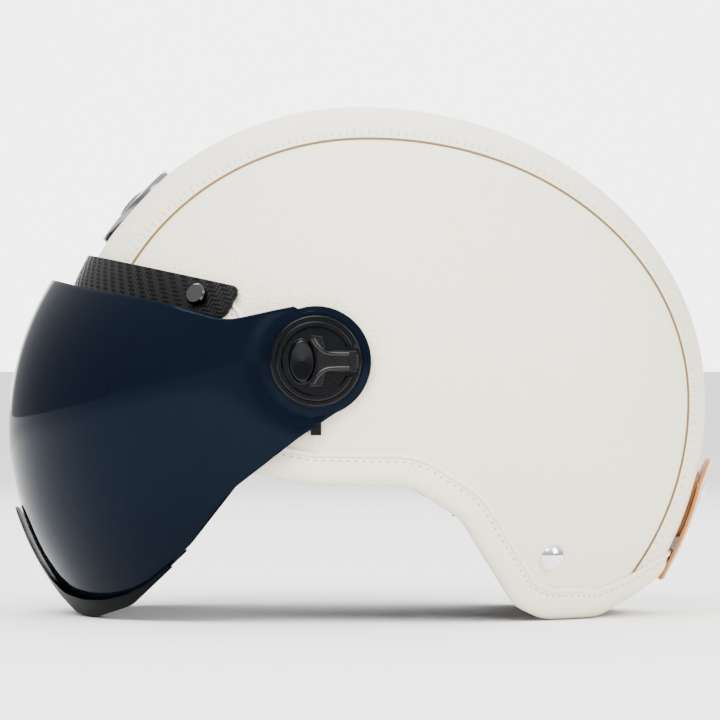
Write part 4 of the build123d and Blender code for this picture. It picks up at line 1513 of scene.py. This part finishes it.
@dataclass
class Visor:
    """The bubble lens and its chin trim."""

    pivot: Point2 = (-0.0172, 0.1103)
    middle: Point2 = (-0.0336, 0.082)
    radius: float = 0.119
    half_width: float = 0.118
    wall: float = 0.0022
    flat_radius: float = 0.030
    ear_radius: float = 0.023
    hub_hole: float = 0.01205
    step_radius: float = 0.0206
    step: float = 0.0005
    top: tuple = ((-0.1138, 0.1412), (-0.0866, 0.1362), (-0.055, 0.1272), (-0.026, 0.1332))
    lower: tuple = ((-0.0006, 0.0944), (-0.024, 0.0787), (-0.0533, 0.0558))
    chin: tuple = ((-0.0779, 0.0235), (-0.0954, 0.0068), (-0.113, 0.0))
    chin_lift: float = 0.0026
    columns: int = 120
    rows: int = 72

    def __post_init__(self) -> None:
        """Lays out the lens's outline."""
        lift = [(y + 0.0015, z + self.chin_lift) for y, z in self.chin]
        far = -0.26
        front_top = (far, self.top[0][1] - 0.249 * (far - self.top[0][0]))
        corners = [front_top, *self.top, self.pivot]
        radii = [0.09, 0.09, 0.024, 0.0]
        upper = SidePath(corners, radii)
        below = SidePath(
            [self.pivot, *self.lower, *lift, (far, lift[-1][1])],
            [0.0, 0.06, 0.03, 0.012, 0.012, 0.012],
        )
        self.outline = upper.points + below.points

    def inside(self, y: float, z: float) -> bool:
        """Whether a side-view place lies on the lens.

        Args:
            y: place along the helmet, in metres.
            z: height in the side view, in metres.

        Returns:
            True on the lens or its ear.
        """
        if (y - self.pivot[0]) ** 2 + (z - self.pivot[1]) ** 2 < self.ear_radius**2:
            return True
        found = False
        previous = self.outline[-1]
        for point in self.outline:
            if (point.y > z) != (previous.y > z):
                cross = previous.x + (z - previous.y) * (point.x - previous.x) / (point.y - previous.y)
                if y < cross:
                    found = not found
            previous = point
        return found

    def circle(self, share: float, grow: float = 0.0) -> tuple[float, float, float]:
        """Centre and radius of a section; share is 1 in the middle and 0 at the ear.

        Args:
            share: the section, 1 in the middle and 0 at the ear.
            grow: how much larger the middle section is, in metres.

        Returns:
            The centre's place along Y, its height and the radius, in metres.
        """
        y = self.pivot[0] + (self.middle[0] - self.pivot[0]) * share
        z = self.pivot[1] + (self.middle[1] - self.pivot[1]) * share
        return y, z, self.flat_radius + (self.radius + grow - self.flat_radius) * share

    def _edge_turn(self, share: float, step: float) -> float:
        """Angle at which a section leaves the lens, walking from the front.

        Args:
            share: the section, 1 in the middle and 0 at the ear.
            step: angle to walk by; its sign sets the way, in radians.

        Returns:
            The angle, in radians.
        """
        y, z, radius = self.circle(share)
        turn = math.pi
        while self.inside(y + radius * math.cos(turn + step), z + radius * math.sin(turn + step)):
            turn += step
            if abs(turn - math.pi) > math.pi * 0.9:
                break
        inside, outside = turn, turn + step
        for _ in range(24):
            half = (inside + outside) / 2
            if self.inside(y + radius * math.cos(half), z + radius * math.sin(half)):
                inside = half
            else:
                outside = half
        return inside

    def lens(self) -> bpy.types.Object:
        """The lens with its flat ears.

        Returns:
            The lens.
        """
        limits = []
        for index in range(self.columns // 2 + 1):
            share = math.cos(math.pi / 2 * index / (self.columns // 2))
            limits.append((self._edge_turn(share, 0.03), self._edge_turn(share, -0.03)))

        def spot(u: float, v: float) -> Vector:
            """Where a point of the unit square goes.

            Args:
                u: share along the first direction.
                v: share along the second direction.

            Returns:
                The point.
            """
            index = abs(round((2 * u - 1) * (self.columns // 2)))
            across = math.pi / 2 * (2 * u - 1)
            y, z, radius = self.circle(max(math.cos(across), 0.0))
            low, high = limits[index]
            turn = low + (high - low) * v
            x = self.half_width * math.sin(across)
            return Vector((x, y + radius * math.cos(turn), z + radius * math.sin(turn)))

        bubble = grid("visor_bubble", self.columns, self.rows, spot)
        face_away(bubble, Vector((0, self.middle[0], self.middle[1])))
        ears = [self._ear(limits[-1], side) for side in Side]
        lens = join("visor_bubble", [bubble, *ears])
        merge(lens, 2e-5)
        add_modifier(lens, "SOLIDIFY", thickness=self.wall, offset=-1.0, use_even_offset=True)
        add_modifier(lens, "BEVEL", width=0.0005, segments=2, limit_method="ANGLE",
                     angle_limit=math.radians(60))
        shade(lens, 40)
        return lens

    def _ear(self, limit: Point2, side: Side) -> bpy.types.Object:
        """One flat ear, a ring from the hub hole to the ear's outline.

        Args:
            limit: the two angles where the lens meets the ear, in radians.
            side: the side of the helmet.

        Returns:
            The ear, as an open sheet.
        """
        rest = 64
        columns = self.rows + rest
        rings = [0.0, 0.25, 0.5, 0.66, 0.74, 0.8, 0.9, 1.0]
        low, high = limit

        def turn_of(u: float) -> float:
            """Angle of a column round the pivot.

            Args:
                u: share along the first direction.

            Returns:
                The angle, in radians.
            """
            index = round(u * columns)
            if index <= self.rows:
                return low + (high - low) * index / self.rows
            return high + (low + 2 * math.pi * math.copysign(1, high - low) - high) * (
                index - self.rows
            ) / rest

        reaches = {}

        def reach_of(u: float) -> float:
            """How far a column reaches from the pivot.

            Args:
                u: share along the first direction.

            Returns:
                The reach, in metres.
            """
            index = round(u * columns)
            if index <= self.rows or index == columns:
                return self.flat_radius
            if index not in reaches:
                reaches[index] = self._ear_reach(turn_of(u))
            return reaches[index]

        def spot(u: float, v: float) -> Vector:
            """Where a point of the unit square goes.

            Args:
                u: share along the first direction.
                v: share along the second direction.

            Returns:
                The point.
            """
            turn = turn_of(u)
            reach = self.hub_hole + (reach_of(u) - self.hub_hole) * rings[round(v * 7)]
            fall = min(max((reach - self.step_radius) / 0.0006, 0.0), 1.0)
            back = min(max((reach - 0.0245) / 0.004, 0.0), 1.0)
            x = self.half_width - self.step * fall * (1 - back)
            y = self.pivot[0] + reach * math.cos(turn)
            z = self.pivot[1] + reach * math.sin(turn)
            return Vector((side.value * x, y, z))

        ear = grid(f"ear_{side.word}", columns, 7, spot)
        outward = Vector((0, self.pivot[0], self.pivot[1]))
        face_away(ear, outward)
        return ear

    def _ear_reach(self, turn: float) -> float:
        """How far the ear reaches from the pivot at an angle.

        Args:
            turn: angle round the pivot, in radians.

        Returns:
            The reach, in metres.
        """
        inside, outside = 0.015, self.flat_radius
        for _ in range(24):
            reach = (inside + outside) / 2
            y = self.pivot[0] + reach * math.cos(turn)
            z = self.pivot[1] + reach * math.sin(turn)
            if self.inside(y, z):
                inside = reach
            else:
                outside = reach
        return inside

    def build(self, palette: Palette) -> None:
        """Builds the lens and dresses the chin trim.

        Args:
            palette: the finishes to dress the pieces with.
        """
        settle(self.lens(), palette.lens, "visor", "smoke_lens", ["visor_lens"])
        trim = cad_copy("chin_trim", "chin_edge_trim", 0.0)
        settle(trim, palette.gloss, "visor", "gloss_black", ["chin_trim"])


@dataclass
class Pivot:
    """The base, cover, lever and fasteners of one visor pivot."""

    side: Side
    centre: Point2 = (-0.0172, 0.1103)
    back: float = 0.11835
    rim: float = 0.1205
    ring: float = 0.1221
    floor: float = 0.12025
    ring_inner: float = 0.0139
    ring_outer: float = 0.0169
    radius: float = 0.0190
    mouth: float = 0.0062
    pad_y: float = -0.0058
    pad_half: Point2 = (0.0056, 0.0094)
    rail_radius: float = 0.00125
    squeezed: float = 0.6
    rail: tuple = ((-0.0012, 0.0092), (0.0006, 0.0062), (0.0034, 0.0037), (0.0066, 0.0029), (0.0166, 0.0029))

    def face(self, y: float, z: float) -> float:
        """Height of the cover's face at a place measured from the pivot.

        Args:
            y: distance from the pivot along the helmet, in metres.
            z: height from the pivot, in metres.

        Returns:
            The height, in metres.
        """
        reach = math.hypot(y, z)
        across = (reach - (self.ring_inner + self.ring_outer) / 2) / ((self.ring_outer - self.ring_inner) / 2)
        height = self.rim if reach > self.ring_outer else self.floor
        if abs(across) < 1 and not (y > 0 and abs(z) < self.mouth):
            height += (self.ring - height) * min((1 - across * across) * 1.6, 1.0)
        elif y > 0 and abs(z) < self.mouth and reach > self.ring_inner:
            height = self.floor
        oval = math.hypot((y - self.pad_y) / self.pad_half[0], z / self.pad_half[1])
        if oval < 1:
            wall = min((1 - oval) / 0.16, 1.0)
            height = max(height, self.floor + 0.0012 * wall - 0.0007 * (1 - oval) * wall)
        return height

    def cover(self) -> bpy.types.Object:
        """The round cover with its ring, mouth and thumb pad.

        Returns:
            The cover.
        """
        columns, rings = 288, 76

        def spot(u: float, v: float) -> Vector:
            """Where a point of the unit square goes.

            Args:
                u: share along the first direction.
                v: share along the second direction.

            Returns:
                The point.
            """
            turn = 2 * math.pi * u
            reach = min(v * 1.04, 1.0) * self.radius
            y, z = reach * math.cos(turn), reach * math.sin(turn)
            edge = min((self.radius - reach) / 0.0007, 1.0)
            x = self.face(y, z) - 0.0006 * (1 - math.sqrt(1 - (1 - edge) ** 2))
            if v > 0.975:
                x = self.back
            return Vector((x, self.centre[0] + y, self.centre[1] + z))

        piece = grid("pivot_cover_face_left", columns, rings, spot)
        merge(piece)
        in_edit(
            piece,
            lambda: bpy.ops.mesh.select_all(action="DESELECT"),
            lambda: bpy.ops.mesh.select_non_manifold(),
            lambda: bpy.ops.mesh.edge_face_add(),
        )
        recalculate(piece)
        shade(piece, 50)
        return piece

    def rails(self) -> bpy.types.Object:
        """The lever's two raised rails, which fork round the thumb pad.

        Returns:
            The rails.
        """
        bars = []
        for sign in (1, -1):
            line = [
                Vector((self.floor + 0.0013, self.centre[0] + y, self.centre[1] + sign * z))
                for y, z in self.rail
            ]
            for _ in range(3):
                line = [line[0]] + [
                    a.lerp(b, share) for a, b in zip(line, line[1:]) for share in (0.25, 0.75)
                ] + [line[-1]]
            bars.append(tube("rail", resample(line, 40), self.rail_radius, False, 12))
        bar_end = [
            Vector((self.floor + 0.0013, self.centre[0] + self.rail[-1][0], self.centre[1] + z))
            for z in (-self.rail[-1][1], 0.0, self.rail[-1][1])
        ]
        bars.append(tube("rail_end", resample(bar_end, 8), self.rail_radius * 0.8, False, 12))
        return join("release_lever_rails_left", bars)

    def placed(self, piece: bpy.types.Object, name: str) -> bpy.types.Object:
        """The left piece itself, or its mirrored copy for the right side.

        Args:
            piece: the left piece.
            name: the new piece's name.

        Returns:
            The piece for that side.
        """
        if self.side is Side.LEFT:
            piece.name = name
            return piece
        copy = mirror_copy(piece, name)
        bpy.data.objects.remove(piece)
        return copy

    def build(self, palette: Palette) -> None:
        """Builds the cover and the lever's rails and dresses the rest.

        Args:
            palette: the finishes to dress the pieces with.
        """
        word = self.side.word
        cover = self.placed(self.cover(), f"pivot_cover_face_{word}")
        settle(cover, palette.satin, "helmet", "pivot_black", [f"pivot_cover_{word}"])
        base = cad_copy(f"pivot_base_{word}", f"pivot_base_moulding_{word}")
        settle(base, palette.satin, "helmet", "pivot_black", [f"pivot_base_{word}"])
        rails = self.placed(self.rails(), f"release_lever_rails_{word}")
        shade(rails, 60)
        settle(rails, palette.glossy, f"release_{word}", "pivot_black")
        lever = cad_copy(f"release_lever_{word}", f"release_lever_moulding_{word}", 0.0003)
        settle(lever, palette.glossy, f"release_{word}", "pivot_black", [f"release_lever_{word}"])
        spring = cad_copy(f"release_spring_{word}", f"release_spring_leaves_{word}")
        settle(spring, palette.steel, "helmet", "steel", [f"release_spring_{word}"])
        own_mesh(spring)
        for part in ("pivot_screw", "t_nut", "strap_hanger"):
            dress(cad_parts[f"{part}_{word}"], palette.steel)
        rivet = cad_copy(f"anchor_rivet_{word}", f"anchor_cap_{word}", 0.0)
        settle(rivet, palette.chrome, "helmet", "polished_chrome", [f"anchor_rivet_{word}"])


@dataclass
class Badge:
    """A plain ribbed oval on the forehead."""

    form: Form
    y: float = -0.0975
    half_length: float = 0.0205
    half_width: float = 0.015
    plate: float = 0.0014
    rim: float = 0.0022
    boss: float = 0.0033
    ribs: int = 18

    def height(self, share: float, turn: float) -> float:
        """How proud the badge stands at a share of its radius and an angle.

        Args:
            share: share of the badge's radius.
            turn: angle round the badge, in radians.

        Returns:
            The height, in metres.
        """
        if share > 0.985:
            return self.rim * 0.75
        if share > 0.88:
            return self.rim
        if share > 0.84:
            return self.plate * 0.75
        if share > 0.44:
            wave = abs(math.cos(self.ribs / 2 * turn)) ** 0.6
            return self.plate * 0.75 + 0.0007 * wave
        if share > 0.4:
            return self.plate * 0.6
        return self.plate + (self.boss - self.plate) * math.sqrt(max(1 - (share / 0.4) ** 2, 0.0))

    def build(self, palette: Palette) -> None:
        """Builds the badge as rings that follow the forehead.

        Args:
            palette: the finishes to dress the pieces with.
        """
        form = self.form
        z = form.centre_z + form.up * math.sqrt(1 - ((self.y - form.centre_y) / form.front) ** 2)
        centre = Vector((0, self.y, z))
        out = form.normal(centre)
        along = Vector((1, 0, 0)).cross(out).normalized()
        steps = [0.0, 0.08, 0.16, 0.24, 0.31, 0.36, 0.39, 0.4, 0.401, 0.44, 0.441, 0.5, 0.6, 0.7,
                 0.8, 0.84, 0.841, 0.88, 0.881, 0.93, 0.98, 0.985, 1.0, 1.001]
        columns, rings = 216, len(steps) - 1

        def spot(u: float, v: float) -> Vector:
            """Where a point of the unit square goes.

            Args:
                u: share along the first direction.
                v: share along the second direction.

            Returns:
                The point.
            """
            turn = 2 * math.pi * u
            share = steps[round(v * rings)]
            flat = Vector((self.half_width * math.cos(turn) * share, 0, 0))
            flat += along * self.half_length * math.sin(turn) * share
            guess = centre + flat
            turn_side = math.atan2(guess.z - form.centre_z, guess.y - form.centre_y)
            base = form.ray(turn_side, guess.x)
            rise = -0.0004 if share > 1 else self.height(share, turn)
            return base + form.normal(base) * rise

        badge = grid("forehead_badge", columns, rings, spot)
        merge(badge)
        in_edit(
            badge,
            lambda: bpy.ops.mesh.select_all(action="DESELECT"),
            lambda: bpy.ops.mesh.select_non_manifold(),
            lambda: bpy.ops.mesh.edge_face_add(),
        )
        recalculate(badge)
        shade(badge, 32)
        settle(badge, palette.aged, "helmet", "polished_chrome", ["badge"])


@dataclass
class GoggleTab:
    """The leather tab at the back, its patch and its snap."""

    form: Form
    half_width: float = 0.016
    bottom: float = 0.0152
    top: float = 0.064
    tip: float = 0.0038
    flare: float = 0.0013
    lift: float = 0.0019
    wall: float = 0.0012
    facing: float = 0.0008

    def _sheet(self, name: str, lift: float, wall: float, grow: float) -> bpy.types.Object:
        """A rounded sheet that follows the back at a set lift.

        Args:
            name: the new piece's name.
            lift: height over the leather, in metres.
            wall: thickness, in metres.
            grow: how much is added to the half width, in metres.

        Returns:
            The sheet.
        """
        columns, rows = 36, 60
        height = self.top - self.bottom

        def spot(u: float, v: float) -> Vector:
            """Where a point of the unit square goes.

            Args:
                u: share along the first direction.
                v: share along the second direction.

            Returns:
                The point.
            """
            z = self.bottom + height * v
            near = min(v, 1 - v) * height
            corner = 0.007 if v < 0.5 else 0.012
            round_in = corner - math.sqrt(max(corner**2 - max(corner - near, 0.0) ** 2, 0.0))
            x = (2 * u - 1) * (self.half_width + grow - round_in * 0.9)
            z += self.tip * max(v - 0.9, 0.0) / 0.1 * (1 - (x / self.half_width) ** 2)
            stand = lift + self.flare * max((v - 0.8) / 0.2, 0.0) ** 2
            reach = self.form.rear_y(z, -stand)
            side = math.sqrt(max(1 - (x / (self.form.half_width + stand)) ** 2, 0.0))
            y = self.form.centre_y + (reach - self.form.centre_y) * side
            return Vector((x, y, z))

        sheet = grid(name, columns, rows, spot, lambda u, v: (u * self.half_width * 2, v * height))
        face_away(sheet, self.form.centre)
        add_modifier(sheet, "SOLIDIFY", thickness=wall, offset=1.0)
        add_modifier(sheet, "BEVEL", width=0.00025, segments=2, limit_method="ANGLE",
                     angle_limit=math.radians(50))
        shade(sheet, 45)
        return sheet

    def build(self, palette: Palette) -> None:
        """Builds the tab in two layers and dresses the snap.

        Args:
            palette: the finishes to dress the pieces with.
        """
        # The body's dark brown is partly painted shade of the tab's underside, seen round the lighter facing.
        body = self._sheet("tab_body", self.lift, self.wall, 0.0)
        settle(body, palette.saddle_and_shade, "tab", "tan_leather", ["goggle_tab"])
        facing = self._sheet("tab_facing", self.lift + self.wall, self.facing, -0.0004)
        settle(facing, palette.facing, "tab", "tan_leather")
        cap = cad_copy("snap_cap", "tab_snap_cap", 0.0)
        settle(cap, palette.chrome, "tab", "polished_chrome", ["snap_cap"])
        dress(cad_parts["snap_stud"], palette.steel)
        # The backing patch under the tab shares that brown, partly painted shade.
        patch = cad_copy("tab_patch", "tab_backing_patch", 0.0)
        settle(patch, palette.saddle_and_shade, "helmet", "tan_leather", ["tab_patch"])


@dataclass
class Liner:
    """The foam and the padded lining."""

    voxel: float = 0.005
    frames: int = 20
    ease: float = 0.0006

    def build(self, palette: Palette) -> None:
        """Dresses the foam and builds every pad.

        Args:
            palette: the finishes to dress the pieces with.
        """
        dress(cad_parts["foam_liner"], palette.foam)
        dress(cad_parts["outer_shell"], palette.moulded)
        for node in ("crown_lining", "brow_pad", "neck_pad", "side_pad_left", "side_pad_right", "chin_pad"):
            self._pad(node, palette)

    def _pad(self, node: str, palette: Palette) -> None:
        """One pad, swollen by cloth simulation inside its own room.

        Args:
            node: the CAD node.
            palette: the finishes to dress the pieces with.
        """
        pad = cad_copy(node, f"{node}_cover", 0.0)
        low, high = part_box(node)
        small = min(high - low) < 0.012
        add_modifier(pad, "REMESH", mode="VOXEL", voxel_size=0.002 if small else self.voxel * 0.6)
        add_modifier(pad, "SMOOTH", factor=0.5, iterations=6)
        rest = [v.co.copy() for v in pad.data.vertices]
        self._inflate(pad)
        self._cap(pad, rest)
        shade(pad, 180)
        settle(pad, palette.lining, "helmet", "lining_fabric", [node])

    def _inflate(self, pad: bpy.types.Object) -> None:
        """Runs the cloth under pressure and applies it.

        Args:
            pad: the pad.
        """
        select_only(pad)
        cloth = pad.modifiers.new("puff", "CLOTH")
        cloth.settings.use_pressure = True
        cloth.settings.uniform_pressure_force = 4.0
        cloth.settings.effector_weights.gravity = 0.0
        cloth.point_cache.frame_start = 1
        cloth.point_cache.frame_end = self.frames
        for step in range(1, self.frames + 1):
            bpy.context.scene.frame_set(step)
        bpy.ops.object.modifier_apply(modifier=cloth.name)
        bpy.context.scene.frame_set(1)

    def _cap(self, pad: bpy.types.Object, rest: Sequence[Vector]) -> None:
        """Limits how far the cloth may leave the pad's own shape.

        Args:
            pad: the pad.
            rest: the vertices' places before the cloth ran.
        """
        for vertex, start in zip(pad.data.vertices, rest):
            move = vertex.co - start
            if move.length > self.ease:
                vertex.co = start + move.normalized() * self.ease


@dataclass
class ChinStrap:
    """Webbing halves, buckle, adjuster and tongue."""

    width: float = 0.020
    wall: float = 0.0015
    route: tuple = ((0.0846, 0.003), (0.0735, 0.013), (0.0665, 0.036), (0.0545, 0.061))
    bends: tuple = (0.009, 0.024, 0.011)
    chord_y: float = 0.061
    high: float = 0.072
    low: float = 0.050
    drop: Point2 = (0.008, 0.056)
    adjuster_foot: float = 0.0443

    def centre_height(self, y: float) -> float:
        """Height of the webbing's middle at a place along its fall.

        Args:
            y: place along the webbing's fall, in metres.

        Returns:
            The height, in metres.
        """
        share = min(max((y - self.drop[0]) / (self.drop[1] - self.drop[0]), 0.0), 1.0)
        eased = share * share * (3 - 2 * share)
        return self.high + (self.low - self.high) * (0.5 * share + 0.5 * eased)

    def _webbing(self, name: str, end_x: float) -> bpy.types.Object:
        """A ribbon on edge from the hanger to a place on the chord.

        Args:
            name: the new piece's name.
            end_x: where the webbing ends, measured from the middle plane, in metres.

        Returns:
            The ribbon.
        """
        plan = SidePath([*self.route, (end_x, self.chord_y)], self.bends)
        total = plan.lengths[-1]
        columns, rows = 150, 8

        def spot(u: float, v: float) -> Vector:
            """Where a point of the unit square goes.

            Args:
                u: share along the first direction.
                v: share along the second direction.

            Returns:
                The point.
            """
            place, _ = plan.at(max(total * u, 1e-5))
            crown = 1 - (2 * v - 1) ** 4
            z = self.centre_height(place.y) + (v - 0.5) * self.width
            _, left = plan.at(max(total * u, 1e-5))
            out = left * (0.0002 * crown)
            return Vector((place.x + out.x, place.y + out.y, z))

        ribbon = grid(name, columns, rows, spot, lambda u, v: (total * u, v * self.width))
        add_modifier(ribbon, "SOLIDIFY", thickness=self.wall, offset=0.0)
        add_modifier(ribbon, "BEVEL", width=0.0004, segments=2, limit_method="ANGLE",
                     angle_limit=math.radians(50))
        recalculate(ribbon)
        shade(ribbon, 45)
        return ribbon

    def build(self, palette: Palette) -> None:
        """Builds the webbing and dresses the buckle.

        Args:
            palette: the finishes to dress the pieces with.
        """
        left = self._webbing("webbing_left", 0.038)
        settle(left, palette.webbing, "helmet", "webbing", ["strap_left"])
        source = self._webbing("webbing_source", 0.0265)
        right = mirror_copy(source, "webbing_right")
        bpy.data.objects.remove(source)
        dress(right, palette.webbing)
        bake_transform(right)
        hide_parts("strap_right")
        for node, body, material, slot in (
            ("buckle_housing", "helmet", palette.moulded, "buckle_plastic"),
            ("strap_adjuster", "helmet", palette.moulded, "buckle_plastic"),
            ("pawl_lever", "pawl", palette.red, "red_plastic"),
            ("buckle_tongue", "tongue", palette.moulded, "buckle_plastic"),
        ):
            piece = cad_copy(node, f"{node}_moulding")
            if node == "strap_adjuster":
                for vertex in piece.data.vertices:
                    vertex.co.z = max(vertex.co.z, self.adjuster_foot)
            settle(piece, material, body, slot, [node])
        dress(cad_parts["pawl_pin"], palette.steel)


@dataclass
class Studio:
    """Camera, floor and soft light."""

    distance: float = 2.2
    focal: float = 250.8
    aim: tuple = (0.0, 0.0011, 0.1108)
    horizon: float = 0.6
    zenith: float = 2.4
    behind: float = 4.5

    def build(self) -> None:
        """Sets the stage."""
        data = bpy.data.cameras.new("camera")
        data.lens = self.focal
        data.sensor_width = 36.0
        data.clip_end = 120.0
        camera = bpy.data.objects.new("camera", data)
        bpy.context.scene.collection.objects.link(camera)
        camera.location = (self.distance, self.aim[1], self.aim[2])
        camera.rotation_euler = (math.radians(90), 0, math.radians(90))
        bpy.context.scene.camera = camera
        bpy.ops.mesh.primitive_plane_add(size=90)
        floor = bpy.context.active_object
        floor.name = "floor"
        paper = Shader("paper", Base_Color=(0.93, 0.93, 0.93, 1), Roughness=0.9)
        dress(floor, paper.material)
        self._sky()
        self._light("key", (1.1, -0.5, 1.5), 1.3, 58.0)
        self._light("fill", (1.0, 1.3, 0.9), 1.0, 27.0)
        self._light("back", (-1.3, 0.0, 1.3), 1.3, 30.0)

    def _sky(self) -> None:
        """A soft white surround, brighter overhead."""
        world = bpy.data.worlds.new("studio")
        world.use_nodes = True
        tree = world.node_tree
        sky = tree.nodes["Background"]
        sky.inputs["Color"].default_value = (1.0, 1.0, 1.0, 1)
        place = tree.nodes.new("ShaderNodeTexCoord")
        split = tree.nodes.new("ShaderNodeSeparateXYZ")
        tree.links.new(place.outputs["Generated"], split.inputs[0])
        parts = []
        for axis, low, high in ((2, self.horizon, self.zenith), (0, self.behind, 0.0)):
            part = tree.nodes.new("ShaderNodeMapRange")
            part.interpolation_type = "SMOOTHSTEP"
            part.inputs["From Min"].default_value = -1.0 if axis == 0 else 0.0
            part.inputs["From Max"].default_value = -0.93 if axis == 0 else 1.0
            part.inputs["To Min"].default_value = low
            part.inputs["To Max"].default_value = high
            tree.links.new(split.outputs[axis], part.inputs["Value"])
            parts.append(part.outputs[0])
        both = tree.nodes.new("ShaderNodeMath")
        for index, part in enumerate(parts):
            tree.links.new(part, both.inputs[index])
        tree.links.new(both.outputs[0], sky.inputs["Strength"])
        bpy.context.scene.world = world

    def _light(self, name: str, place: tuple, size: float, power: float) -> None:
        """One soft area light that faces the helmet.

        Args:
            name: the lamp's name.
            place: the lamp's place.
            size: the lamp's edge, in metres.
            power: the lamp's power, in watts.
        """
        data = bpy.data.lights.new(name, "AREA")
        data.size = size
        data.energy = power
        light = bpy.data.objects.new(name, data)
        light.location = place
        aim = Vector(self.aim) - Vector(place)
        light.rotation_euler = aim.to_track_quat("-Z", "Y").to_euler()
        bpy.context.scene.collection.objects.link(light)


def main() -> None:
    """Builds the helmet's looks in order."""
    logging.basicConfig(level=logging.INFO, format="%(name)s %(message)s")
    Studio().build()
    palette = Palette()
    form = Form()
    rim = Rim(form)
    rim.build(palette)
    Skin(form, rim).build(palette)
    Brim(form, rim).build(palette)
    Visor().build(palette)
    for side in Side:
        Pivot(side).build(palette)
    Badge(form).build(palette)
    GoggleTab(form).build(palette)
    Liner().build(palette)
    ChinStrap().build(palette)


if __name__ == "__main__":
    main()
